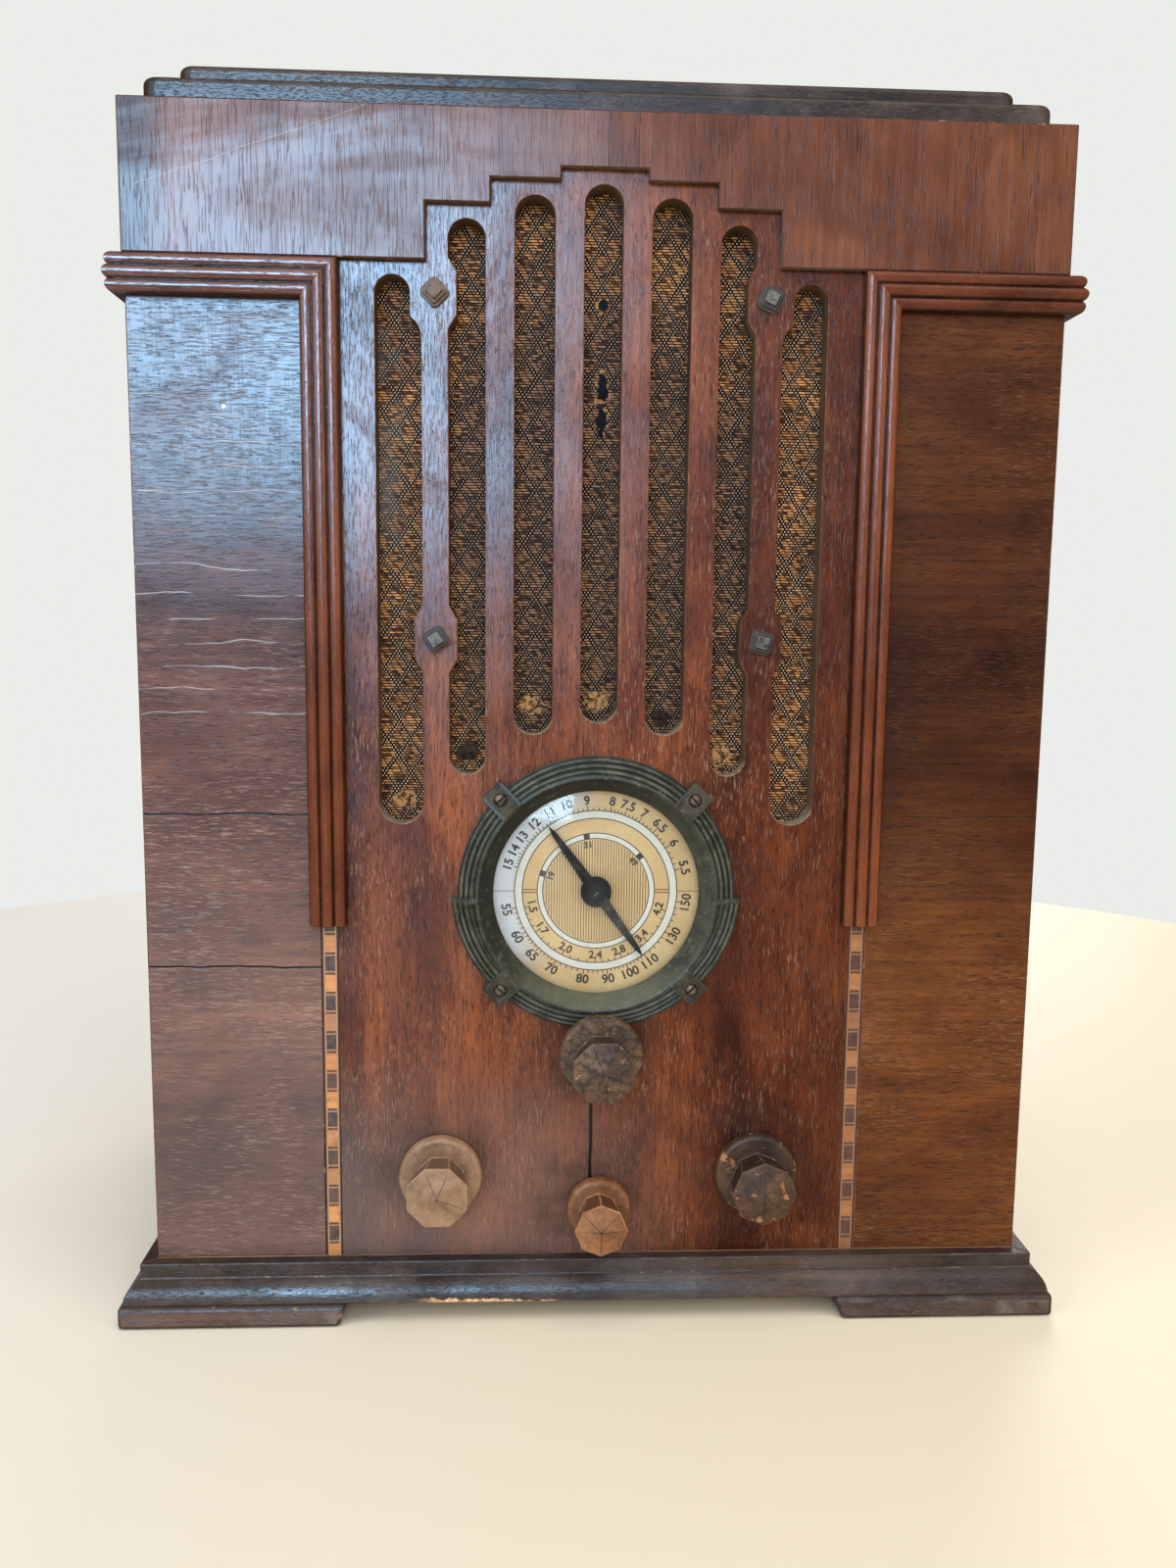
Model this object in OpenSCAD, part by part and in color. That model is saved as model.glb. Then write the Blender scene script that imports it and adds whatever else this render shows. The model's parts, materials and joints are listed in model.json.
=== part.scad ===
// Tombstone table radio: a wooden cabinet with an open back, a moving-coil speaker behind a slotted
// grille, a round pointer dial turned by a friction disc, and a valve chassis on the bottom board.
// +X is right as seen from the front, +Y runs to the open back and +Z is up.
// The origin lies on the table, under the middle of the outer box.

/* [Cabinet] */
// Outer width over the side boards
cabinet_w = 344; // [330:1:400]
// Depth from the front face to the open back
cabinet_d = 254; // [240:1:320]
// Height of the front boards
front_h = 432; // [390:1:490]
// Thickness of the front boards
front_t = 9.5; // [7:0.5:14]
// Thickness of each side board
side_t = 10; // [6:0.5:14]
// Thickness of the top board
top_t = 10; // [6:0.5:14]
// Short sides of the triangular glue blocks
block_leg = 18; // [10:1:24]
// Length of a glue block
block_len = 70; // [40:1:90]

/* [Top steps] */
// Height of the lower step
lower_step_h = 9.5; // [5:0.5:16]
// Height of the upper step
upper_step_h = 8.5; // [5:0.5:16]
// Set-back of the lower step at each side
lower_step_side = 6.5; // [3:0.5:12]
// Set-back of the lower step at the front
lower_step_front = 3.5; // [0:0.5:10]
// Set-back of the upper step from the lower one, at each side
upper_step_side = 10.3; // [4:0.1:20]
// Set-back of the upper step from the lower one, at the front
upper_step_front = 10.5; // [4:0.5:20]
// Corner radius of the steps in plan
step_corner_r = 6; // [4:0.5:12]
// Rounding along the top edge of each step
step_edge_r = 2.4; // [0.6:0.2:3.6]

/* [Base] */
// Height of the feet
foot_h = 8.7; // [6:0.1:20]
// Length of a foot along the front
foot_len = 88; // [50:1:120]
// Length of a foot along the side
foot_deep = 62; // [30:1:100]
// Bevel at the inner end of a foot
foot_bevel = 2.5; // [0:0.5:5]
// How far a foot stands out past the moulding
foot_lip = 1.6; // [0.2:0.2:4]
// Height of the base moulding and of the bottom board inside it
base_h = 14.5; // [12:0.5:24]
// How far the base moulding stands out from the cabinet
base_out = 11; // [10:0.5:18]
// Width of the flat ledge along the top of the base moulding
base_ledge = 5.4; // [3:0.2:8]
// Radius of the round below the ledge
ovolo_r = 9.5; // [8.5:0.5:10]

/* [Header] */
// Thickness of the header panel
header_t = 3; // [1.5:0.5:5]
// Wood left between a slot's upper end and the header's stepped edge
header_margin = 4.6; // [2:0.2:6]
// How far each step of the header stops short of the next slot
header_inset = 2; // [0.5:0.5:4]

/* [Reeded mouldings] */
// Width of the three-bead moulding
reed_w = 14; // [12:0.5:20]
// How far its middle bead stands out
reed_out = 6; // [5:0.5:9]
// Radius of a bead
bead_r = 2.6; // [2.4:0.1:3]
// How much lower the two outer beads are
bead_drop = 0.7; // [0.3:0.1:1.4]
// Height of the post moulding's lower end above the bottom board
post_foot_z = 135; // [100:1:160]

/* [Inlay] */
// Width of the inlay strips
inlay_w = 6.2; // [4:0.2:10]
// Depth of the inlay strips
inlay_t = 1.2; // [0.6:0.1:3]

/* [Sound slots] */
// Widths of the slots, from the middle outwards
slot_w = [14, 14.6, 13.4, 16.6]; // [10:0.2:18]
// Lower ends of the slots
slot_low = [213, 208.5, 193, 174]; // [160:0.5:235]
// Wood above the slots' upper ends, up to the top of the front
slot_head = [24.4, 28.6, 37.3, 57.2]; // [20:0.1:64]
// Width of the bars
bar_w = 10.7; // [8:0.1:13]
// Width of the bars that carry the speaker bolts
bolt_bar_w = 10; // [8:0.5:14]
// How much narrower the outer slot is beside the upper bolt
slot_neck = 4; // [1:0.5:6]
// Wood from the outer slot to the post moulding
slot_margin = 12.6; // [6:0.2:20]

/* [Speaker mounting] */
// Height of the lower speaker bolts
bolt_low_z = 244; // [236:1:256]
// Distance of the upper speaker bolts below the top of the front
bolt_drop = 63.2; // [60:0.2:72]
// Diameter of a speaker bolt
bolt_d = 4.8; // [3:0.1:6]
// Side of a bolt's square head
bolt_head_w = 8.6; // [7:0.2:10]
// Thickness of one tier of the bolt's head
bolt_tier_t = 1.5; // [0.8:0.1:2]
// How far each bolt is turned: left lower, left upper, right lower, right upper
bolt_turn = [56, 45, 15, 25]; // [0:1:90]
// Width of the pad that a bar swells to round a bolt
pad_w = 16; // [12:0.5:18]
// Height of the pad's straight part
pad_flat = 15; // [10:0.5:20]
// Height of the taper above and below the pad
pad_taper = 5; // [3:0.5:8]
// Thickness of the grille cloth
cloth_t = 0.6; // [0.4:0.1:1]
// Thickness of the baffle board
baffle_t = 6; // [4:0.5:9]
// How far cloth and baffle reach past the slots
baffle_rim = 7; // [4:0.5:11]

/* [Speaker] */
// Metal of the basket's flange beyond the bolts
flange_rim = 12; // [8:0.5:15]
// Sheet thickness of the basket
basket_t = 1.6; // [1:0.1:2.5]
// Depth of the basket
basket_deep = 40; // [30:1:50]
// Radius of the basket's back plate
basket_back_r = 48; // [44:1:54]
// Thickness of the paper cone
cone_t = 0.8; // [0.6:0.1:1.5]
// Radius of the voice coil
voice_r = 13; // [10:0.5:16]
// Radius of the field coil pot
pot_r = 36; // [30:1:40]
// Length of the field coil pot
pot_len = 52; // [40:1:70]
// Width of the output transformer
output_w = 40; // [30:1:50]
// Height of the output transformer
output_h = 32; // [24:1:40]

/* [Dial] */
// Height of the dial's centre above the bottom board
dial_z = 147; // [145:0.5:150]
// Radius of the dial window
window_r = 39.9; // [36:0.1:41]
// Width of the lip that holds the glass
lip_w = 3.7; // [2.5:0.1:5]
// Wall of the throat behind the bezel
throat_t = 2.4; // [1.5:0.1:3.5]
// How far the bezel's rim stands out
rim_out = 6; // [4:0.5:9]
// Width of the sloping wall inside the rim
rim_w = 5.6; // [4:0.2:7]
// Width of the ridged ring outside the rim
ridge_w = 8; // [6:0.5:10]
// Width of the four straps across the bezel
strap_w = 9.6; // [6:0.2:12]
// How much wider the ring's lower half is on each side
lower_step = 2.6; // [1:0.2:3]
// Diameter of a bezel screw's head
bezel_screw_d = 4.8; // [4:0.2:6]
// Thickness of the dial glass
glass_t = 1.6; // [1:0.1:2.2]
// How far the glass is domed
glass_rise = 6; // [4:0.5:8]
// Thickness of the dial plate
dial_plate_t = 0.8; // [0.5:0.1:1.5]
// Reach of the pointer from its axis
pointer_len = 32; // [24:0.5:34]
// Angle of the pointer at rest, anticlockwise from the right
pointer_angle = 126; // [100:1:150]
// Depth of the dial pan behind the front boards
pan_deep = 10.5; // [8:0.5:14]
// Sheet thickness of the dial pan
pan_t = 1; // [0.6:0.1:1.6]

/* [Knobs and shafts] */
// Height of the tuning shaft above the bottom board
tuning_z = 84.5; // [80:0.5:86]
// Height of the volume and tone shafts
control_z = 34; // [30:0.5:40]
// Distance of the volume and tone shafts from the tuning shaft
control_x = 62.5; // [50:0.5:75]
// Height of the band switch shaft
band_z = 20; // [18:0.5:22]
// How far all the shafts sit right of the middle
control_shift = 2.2; // [0:0.1:4]
// Diameter of every control shaft
shaft_d = 6.35; // [5:0.05:7]
// Diameter of a large knob's flange
knob_flange_d = 32.5; // [28:0.5:40]
// Thickness of a knob's flange
knob_flange_t = 4.5; // [3:0.5:6]
// Length of a knob
knob_len = 23; // [18:0.5:28]
// Height of the low pyramid on the end of a knob
knob_crown = 2; // [1:0.2:3]
// Corner radius of a large knob's eight-sided head at the flange
knob_root_r = 9; // [7:0.2:11]
// Corner radius of a large knob's eight-sided head at the front
knob_face_r = 12.6; // [10:0.2:15]
// Diameter of the band knob's flange
band_flange_d = 25; // [22:0.5:30]
// Corner radius of the band knob's head at the flange
band_root_r = 7; // [6:0.2:9]
// Corner radius of the band knob's head at the front
band_face_r = 10.4; // [8:0.2:12]
// Gap between the three lower knobs and the front
knob_gap = 1; // [0.5:0.1:2]
// Radius of a potentiometer's case
pot_case_r = 15; // [12:0.5:18]

/* [Chassis] */
// Width of the chassis
chassis_w = 284; // [262:1:292]
// Room between the front boards and the chassis
chassis_front_gap = 20.5; // [18:0.5:26]
// Depth of the chassis
chassis_d = 185; // [178:1:200]
// Height of the chassis
chassis_h = 66; // [60:0.5:68]
// Sheet thickness of the chassis
chassis_t = 1.2; // [0.8:0.1:2]
// Diameter of a chassis bolt
chassis_bolt_d = 5; // [4:0.5:6]
// Radius of the mains cord hole in the grommet
cord_hole_r = 4; // [3:0.1:4.5]

/* [Tuning gang] */
// Height of the gang's shaft above its base
gang_axis_h = 30; // [29:0.5:34]
// Radius of the rotor plates
rotor_r = 24; // [20:0.5:25]
// Rotor plates in each section
plate_count = 7; // [4:1:8]
// Thickness of a plate
plate_t = 0.8; // [0.5:0.1:1]
// Distance from one rotor plate to the next
plate_pitch = 3.2; // [2.8:0.1:3.6]
// Radius of the pinch washers on the tuning shaft
pinch_r = 12.5; // [10:0.5:13]
// How deep the disc's rim runs between the pinch washers
pinch_grip = 3.5; // [2:0.5:5]
// Thickness of the drive disc
disc_t = 1.2; // [0.8:0.1:2]

/* [Parts on the chassis] */
// Width of the power transformer
power_w = 88; // [70:1:92]
// Depth of the power transformer's core
power_d = 40; // [30:1:44]
// Height of the power transformer
power_h = 78; // [60:1:90]
// Radius of a filter capacitor can
filter_r = 17; // [14:0.5:18]
// Height of a filter capacitor can
filter_h = 82; // [60:1:95]
// Side of a square coil can
coil_can_w = 36; // [28:1:38]
// Height of a coil can
coil_can_h = 76; // [60:1:90]
// Greatest radius of a small valve's bulb
valve_r = 18.5; // [16:0.5:19]
// Greatest radius of the rectifier's bulb
rectifier_r = 23; // [20:0.5:25]
// Height of a small valve's bulb above its base
bulb_h = 72; // [60:1:80]
// Height of a valve's base
valve_base_h = 24; // [18:1:30]

/* [Hidden] */
$fn = 64;
// Radial play of a shaft that turns in its bearing
run_gap = 0.05;
// Play between pieces that pass each other
pass_gap = 0.3;

// Heights and depths that follow from the sizes above
base_top = foot_h + base_h;
tuning_gap = max(knob_gap, rim_out + pass_gap);
front_reach = max(tuning_gap + knob_len, base_out + foot_lip);
frame_y = (front_reach - cabinet_d) / 2;
half_w = cabinet_w / 2;
inner_half_w = half_w - side_t;
inner_h = front_h - top_t;

// Slot and bolt positions, from the middle outwards
slot_x1 = slot_w[0] / 2 + bar_w + slot_w[1] / 2;
slot_x2 = slot_x1 + slot_w[1] / 2 + bar_w + slot_w[2] / 2;
slot_x3 = slot_x2 + slot_w[2] / 2 + bolt_bar_w + slot_w[3] / 2;
slot_x = [0, slot_x1, slot_x2, slot_x3];
slot_top = [for (head = slot_head) front_h - head];
slot_reach = slot_x3 + slot_w[3] / 2;
bolt_x = slot_x2 + slot_w[2] / 2 + bolt_bar_w / 2;
bolt_high_z = front_h - bolt_drop;
bolt_z = [bolt_low_z, bolt_high_z];
post_x = slot_reach + slot_margin + reed_w / 2;
cap_top = slot_top[3] + header_margin;

// Speaker places
speaker_z = (bolt_low_z + bolt_high_z) / 2;
bolt_circle_r = norm([bolt_x, bolt_high_z - speaker_z]);
flange_r = bolt_circle_r + flange_rim;
speaker_hole_r = bolt_circle_r - 12;
baffle_y = front_t + cloth_t;
speaker_y = baffle_y + baffle_t;
cone_rim_t = 2 * cone_t;
basket_y = speaker_y + cone_rim_t;
basket_back_y = basket_y + basket_deep;
basket_wall_r = bolt_circle_r - 8;
window_count = 6;
output_z = pot_r + 2;
nut_t = 4;
bolt_end_y = basket_y + basket_t + nut_t + 2;

// Dial places
glass_r = window_r + lip_w;
throat_in_r = glass_r + pass_gap;
throat_r = throat_in_r + throat_t;
dial_hole_r = throat_r + pass_gap;
rim_r = window_r + rim_w;
bezel_r = rim_r + ridge_w;
strap_screw_r = bezel_r - 1.2;
glass_ball_r = (glass_r * glass_r + glass_rise * glass_rise) / (2 * glass_rise);
lip_back_y = 1.2;
lip_sag = (glass_r * glass_r - window_r * window_r) / (2 * glass_ball_r);
glass_y = lip_back_y + lip_sag + 0.1;
dial_plate_y = glass_y + glass_t + pass_gap;
pan_rim_y = dial_plate_y + dial_plate_t;
pan_y = front_t + pan_deep;
pan_flange_r = dial_hole_r + 5;
lamp_tail = 4;
lamp_r = 6;
lamp_x = window_r * 0.65;
lamp_z = dial_z + window_r * 0.45;
strap_seat = rim_out - 1.6;
step_z = -1.3;
screw_shank_r = 1.4;
pointer_y = dial_plate_y - 1.8;

// Drive and gang places
shaft_r = shaft_d / 2;
shaft_hole_r = shaft_r + 3;
drive_span = norm([control_shift, dial_z - tuning_z]);
disc_r = drive_span - pinch_r + pinch_grip;
disc_y = pan_y + lamp_tail + 4;
hub_len = 8;
gang_y = disc_y + disc_t + hub_len + 4;
gang_end_t = 2;
shield_t = 1;
section_margin = 2;
section_len = plate_count * plate_pitch + 2 * section_margin;
section_count = 3;
gang_len = 2 * gang_end_t + section_count * section_len + (section_count - 1) * shield_t;
gang_base_z = dial_z - gang_axis_h;
gang_base_t = 1.5;
gang_half_w = rotor_r + 10;
stand_t = 1.5;
stand_foot = 12;
bushing_r = shaft_r + 2.4;
mesh_angle = 175;
rotor_turn = pointer_angle - mesh_angle;
rotor_hub_r = shaft_r + 3.2;
washer_t = 1.6;

// Knobs and controls
knob_bore_deep = knob_len - knob_crown - 3;
flat_up = 22.5;
corner_up = 0;
bush_len = 9;
pot_case_t = 13;
control_nut_t = 2.4;

// Chassis places
chassis_y = front_t + chassis_front_gap;
chassis_half_w = chassis_w / 2;
chassis_back_y = chassis_y + chassis_d;
control_xs = [control_shift - control_x, control_shift + control_x];
control_places = [[control_xs[0], control_z], [control_shift, band_z], [control_xs[1], control_z]];
thread_r = shaft_r + 1.6;
socket_t = 3;
socket_boss_r = 13;
valve_base_r = 14.5;
grid_cap_r = 4.6;
wafer_y = chassis_y + 24;
wafer_r = 15;
wafer_t = 2;
wafer_rotor_r = 6;
can_wall = 0.8;
shield_in_r = valve_r + 2;
shield_flange_r = shield_in_r + can_wall + 1;
// The parts of the rear row share out the width that the chassis leaves between them
rear_row_w = 4 * shield_flange_r + coil_can_w + 2 * valve_r + power_w;
row_gap = (chassis_w - rear_row_w) / 6;
left_valve_x = control_shift - chassis_half_w + row_gap + shield_flange_r;
inner_valve_x = left_valve_x + 2 * shield_flange_r + row_gap;
rear_can_x = inner_valve_x + shield_flange_r + row_gap + coil_can_w / 2;
front_valve_y = chassis_y + 40;
middle_y = front_valve_y + 55;
rear_valve_y = chassis_y + 150;
power_x = control_shift + chassis_half_w - row_gap - power_w / 2;
power_y = chassis_y + 132;
small_valves = [
    [left_valve_x, front_valve_y],
    [left_valve_x, middle_y],
    [left_valve_x, rear_valve_y],
    [inner_valve_x, front_valve_y],
    [inner_valve_x, rear_valve_y],
    [power_x - power_w / 2 - row_gap - valve_r, rear_valve_y]
];
rectifier = [control_shift + chassis_half_w - row_gap - rectifier_r, front_valve_y];
all_valves = concat(small_valves, [rectifier]);
shielded_valves = [small_valves[0], small_valves[1], small_valves[3]];
filter_x = gang_half_w + filter_r + 5;
filter_ys = [chassis_y + 24, chassis_y + 24 + 2 * filter_r + 4];
rear_z = chassis_h / 2;
grommet_x = control_shift + chassis_half_w - 40;
grommet_neck_r = cord_hole_r + 2;
terminal_x = control_shift - chassis_half_w + 50;
speaker_socket_x = control_shift + 10;
speaker_socket_r = 14;
coil_cans_at = [[inner_valve_x, middle_y], [rear_can_x, rear_valve_y]];
bolt_head_h = 4;
bolt_head_r = chassis_bolt_d + 1;
bolt_inset = 44;
tab_w = 32;
chassis_bolts_at = [
    for (x = [-1, 1], y = [chassis_y + bolt_inset, chassis_back_y - bolt_inset])
        [control_shift + x * (chassis_half_w - tab_w / 2), y]
];

// Moves a piece from the front's own frame, with y = 0 on the front face and z = 0 on the bottom board,
// to the part's frame.
module placed() {
    translate([0, frame_y, base_top]) children();
}

// Thickens an outline drawn in x and z, from depth y to y + t
module plate(y, t) {
    translate([0, y + t, 0]) rotate([90, 0, 0]) linear_extrude(t) children();
}

// A round bar along y
module rod(r, y, y_end) {
    translate([0, y, 0]) rotate([-90, 0, 0]) cylinder(r = r, h = y_end - y);
}

// Turns an outline of radius and depth about the y axis
module turned() {
    rotate([-90, 0, 0]) rotate_extrude() children();
}

module both_sides() {
    children();
    mirror([1, 0, 0]) children();
}

// An upright slot with round ends
module slot_outline(x, w, low, top) {
    translate([x - w / 2, low + w / 2]) square([w, top - low - w]);
    translate([x, low + w / 2]) circle(d = w);
    translate([x, top - w / 2]) circle(d = w);
}

// The swelling of a bar round a speaker bolt
module bolt_pad(z) {
    flat = pad_flat / 2;
    end = flat + pad_taper;
    bar = bolt_bar_w / 2;
    pad = pad_w / 2;
    translate([bolt_x, z])
        polygon([[-bar, -end], [bar, -end], [pad, -flat], [pad, flat],
                 [bar, end], [-bar, end], [-pad, flat], [-pad, -flat]]);
}

// The slots of one half of the grille
module half_slots() {
    neck_w = slot_w[3] - slot_neck;
    slot_outline(slot_x[1], slot_w[1], slot_low[1], slot_top[1]);
    difference() {
        union() {
            slot_outline(slot_x[2], slot_w[2], slot_low[2], slot_top[2]);
            slot_outline(slot_x[3], slot_w[3], slot_low[3], bolt_high_z - pad_flat / 2);
            slot_outline(slot_reach - neck_w / 2, neck_w, bolt_low_z, slot_top[3]);
        }
        for (z = bolt_z) bolt_pad(z);
    }
}

module bolt_holes() {
    for (side = [-1, 1], z = bolt_z) translate([side * bolt_x, z]) circle(d = bolt_d + 2 * pass_gap);
}

module inlay_rebates() {
    both_sides()
        translate([post_x - inlay_w / 2, -1, -1]) cube([inlay_w, inlay_t + 1, post_foot_z + 1]);
}

module bezel_screw_places() {
    for (turn = [45:90:315]) translate([0, 0, dial_z]) rotate([0, turn, 0])
        translate([strap_screw_r, 0, 0]) children();
}

module grille_panel() {
    color("sienna") difference() {
        plate(0, front_t) difference() {
            translate([-post_x, 0]) square([2 * post_x, front_h]);
            slot_outline(0, slot_w[0], slot_low[0], slot_top[0]);
            half_slots();
            mirror([1, 0]) half_slots();
            bolt_holes();
            translate([0, dial_z]) circle(r = dial_hole_r);
            for (at = control_places) translate(at) circle(r = shaft_hole_r);
            translate([control_shift, tuning_z]) circle(r = shaft_hole_r);
        }
        inlay_rebates();
        bezel_screw_places() rod(screw_shank_r + run_gap, -1, front_t - 1);
    }
}

module stile() {
    difference() {
        translate([post_x, 0, 0]) cube([half_w - post_x, front_t, front_h]);
        inlay_rebates();
    }
}

module left_stile() {
    color("saddlebrown") mirror([1, 0, 0]) stile();
}

module right_stile() {
    color("saddlebrown") stile();
}

// The header's lower edge climbs in steps over the tops of the slots
module header_panel() {
    color("sienna") plate(-header_t, header_t) difference() {
        translate([-half_w, cap_top]) square([cabinet_w, front_h - cap_top]);
        for (i = [1:3]) {
            step_x = slot_x[i] - slot_w[i] / 2 - header_inset;
            step_top = slot_top[i - 1] + header_margin;
            translate([-step_x, cap_top - 1]) square([2 * step_x, step_top - cap_top + 1]);
        }
    }
}

module side_board() {
    translate([inner_half_w, front_t, 0]) cube([side_t, cabinet_d - front_t, inner_h]);
}

module left_side() {
    color("saddlebrown") mirror([1, 0, 0]) side_board();
}

module right_side() {
    color("saddlebrown") side_board();
}

module top_board() {
    color("peru") translate([-half_w, front_t, inner_h]) cube([cabinet_w, cabinet_d - front_t, top_t]);
}

// A slab with round corners in plan and a rounded top edge
module step_slab(side, front, z, h) {
    reach = step_corner_r - step_edge_r;
    translate([0, 0, z]) hull() {
        for (x = [-1, 1], y = [front + step_corner_r, cabinet_d - step_corner_r])
            translate([x * (half_w - side - step_corner_r), y, 0]) {
                cylinder(r = step_corner_r, h = h - step_edge_r, $fn = 32);
                translate([0, 0, h - step_edge_r]) rotate_extrude($fn = 32)
                    translate([reach, 0]) intersection() {
                        circle(r = step_edge_r, $fn = 24);
                        square(step_edge_r);
                    }
            }
    }
}

module lower_top_step() {
    color("#2e1a12") step_slab(lower_step_side, lower_step_front, front_h, lower_step_h);
}

module upper_top_step() {
    color("#2e1a12") step_slab(lower_step_side + upper_step_side, lower_step_front + upper_step_front,
                               front_h + lower_step_h, upper_step_h);
}

module bottom_board() {
    color("burlywood") difference() {
        translate([-half_w, 0, -base_h]) cube([cabinet_w, cabinet_d, base_h]);
        for (at = chassis_bolts_at) translate([at[0], at[1], -base_h - 1]) {
            cylinder(d = chassis_bolt_d + 2 * pass_gap, h = base_h + 2);
            cylinder(r = bolt_head_r + pass_gap, h = bolt_head_h + 1);
        }
    }
}

// Ledge over a quarter round, drawn outwards from the cabinet
module base_profile() {
    square([base_ledge, base_h]);
    intersection() {
        translate([base_out - ovolo_r, 0]) circle(r = ovolo_r);
        square([base_out, ovolo_r]);
    }
}

// Everything behind the mitre line at the right front corner
module mitre_back() {
    size = 2 * cabinet_d;
    translate([half_w, 0, -size / 2]) rotate([0, 0, -45])
        translate([-size / 2, 0, 0]) cube([size, size, 2 * size]);
}

// Everything in front of that line
module mitre_front() {
    size = 2 * cabinet_d;
    translate([half_w, 0, -size / 2]) rotate([0, 0, -45])
        translate([-size / 2, -size, 0]) cube([size, size, 2 * size]);
}

module base_front_moulding() {
    color("#2e1a12") difference() {
        translate([-half_w - base_out, 0, -base_h]) rotate([90, 0, 90])
            linear_extrude(cabinet_w + 2 * base_out) mirror([1, 0]) base_profile();
        both_sides() mitre_back();
    }
}

module base_side_moulding() {
    difference() {
        translate([half_w, cabinet_d, -base_h]) rotate([90, 0, 0]) linear_extrude(cabinet_d + base_out)
            base_profile();
        mitre_front();
    }
}

module base_left_moulding() {
    color("#2e1a12") mirror([1, 0, 0]) base_side_moulding();
}

module base_right_moulding() {
    color("#2e1a12") base_side_moulding();
}

module foot(y) {
    outer = half_w + base_out + foot_lip;
    inner = outer - foot_len;
    plate(y, foot_deep)
        polygon([[inner, -base_h], [outer, -base_h], [outer, -base_top], [inner + foot_bevel, -base_top]]);
}

module feet() {
    color("#2e1a12") both_sides() {
        foot(-base_out - foot_lip);
        foot(cabinet_d - foot_deep);
    }
}

// Three beads side by side, the middle one proudest
module reed_profile() {
    edge = reed_w / 2 - bead_r;
    low = reed_out - bead_drop - bead_r;
    translate([-reed_w / 2, 0]) square([reed_w, low]);
    for (x = [-edge, edge]) translate([x, low]) circle(r = bead_r);
    translate([0, reed_out - bead_r]) circle(r = bead_r);
}

// The half space above (up = 1) or below (up = 0) the mitre between cap and post
module reed_mitre(up) {
    size = cabinet_w;
    translate([post_x - reed_w / 2, 0, cap_top]) rotate([0, 45, 0])
        translate([-size, -size, up ? 0 : -size]) cube([3 * size, 2 * size, size]);
}

module cap_front() {
    start = post_x - reed_w / 2;
    difference() {
        translate([start, 0, cap_top - reed_w / 2]) rotate([0, 90, 0])
            linear_extrude(half_w + reed_out - start) mirror([0, 1]) reed_profile();
        reed_mitre(0);
        mitre_back();
    }
}

module cap_return() {
    difference() {
        translate([half_w, -reed_out, cap_top - reed_w / 2]) rotate([-90, 0, 0])
            linear_extrude(cabinet_d + reed_out) rotate(-90) reed_profile();
        mitre_front();
    }
}

module cap_mouldings() {
    color("brown") both_sides() cap_front();
}

module cap_returns() {
    color("brown") both_sides() cap_return();
}

module post_mouldings() {
    color("brown") both_sides() difference() {
        translate([post_x, 0, post_foot_z]) linear_extrude(cap_top - post_foot_z)
            mirror([0, 1]) reed_profile();
        reed_mitre(1);
    }
}

module inlay_strips() {
    color("goldenrod") both_sides()
        translate([post_x - inlay_w / 2, 0, 0]) cube([inlay_w, inlay_t, post_foot_z]);
}

// Upright blocks in the front corners and lengthwise blocks under the top
module glue_blocks() {
    leg = [[0, 0], [-block_leg, 0], [0, block_leg]];
    color("tan") both_sides() {
        for (z = [chassis_h + 40, inner_h - block_len - 60])
            translate([inner_half_w, front_t, z]) linear_extrude(block_len) polygon(leg);
        for (y = [front_t + 40, cabinet_d - block_len - 20])
            translate([inner_half_w, y + block_len, inner_h]) rotate([90, 0, 0]) linear_extrude(block_len)
                mirror([0, 1]) polygon(leg);
    }
}

// Outline shared by the cloth and the baffle: round the slots and clear of the dial
module baffle_outline() {
    half = max(slot_reach, speaker_hole_r) + baffle_rim;
    low = slot_low[3] - baffle_rim;
    difference() {
        translate([-half, low]) square([2 * half, slot_top[0] + baffle_rim - low]);
        bolt_holes();
        translate([0, dial_z]) circle(r = pan_flange_r + 2);
    }
}

module grille_cloth() {
    color("#3a2c1c") plate(front_t, cloth_t) baffle_outline();
}

module speaker_baffle() {
    color("burlywood") plate(baffle_y, baffle_t) difference() {
        baffle_outline();
        translate([0, speaker_z]) circle(r = speaker_hole_r);
    }
}

module at_speaker() {
    translate([0, 0, speaker_z]) children();
}

// Flange, coned wall with windows, back plate and the tab that carries the output transformer
module speaker_basket() {
    flange_y = basket_y + basket_t;
    plate_y = basket_back_y - basket_t;
    color("dimgray") at_speaker() {
        difference() {
            turned() {
                polygon([[speaker_hole_r - 4, basket_y], [flange_r, basket_y], [flange_r, flange_y],
                         [basket_wall_r, flange_y], [basket_back_r, basket_back_y],
                         [voice_r + 4, basket_back_y], [voice_r + 4, plate_y], [basket_back_r - 1, plate_y],
                         [basket_wall_r - 2, flange_y], [speaker_hole_r - 4, flange_y]]);
            }
            for (i = [0:window_count - 1]) rotate([0, (i + 0.5) * 360 / window_count, 0])
                translate([basket_back_r + 3, basket_y + 8, -16]) cube([flange_r, basket_deep - 14, 32]);
            for (side = [-1, 1], z = bolt_z) translate([side * bolt_x, 0, z - speaker_z])
                rod(bolt_d / 2 + pass_gap, basket_y - 1, flange_y + 1);
        }
        translate([-output_w / 2, plate_y, basket_back_r - 6])
            cube([output_w, basket_t, output_z + output_h - basket_back_r + 6]);
    }
}

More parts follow.
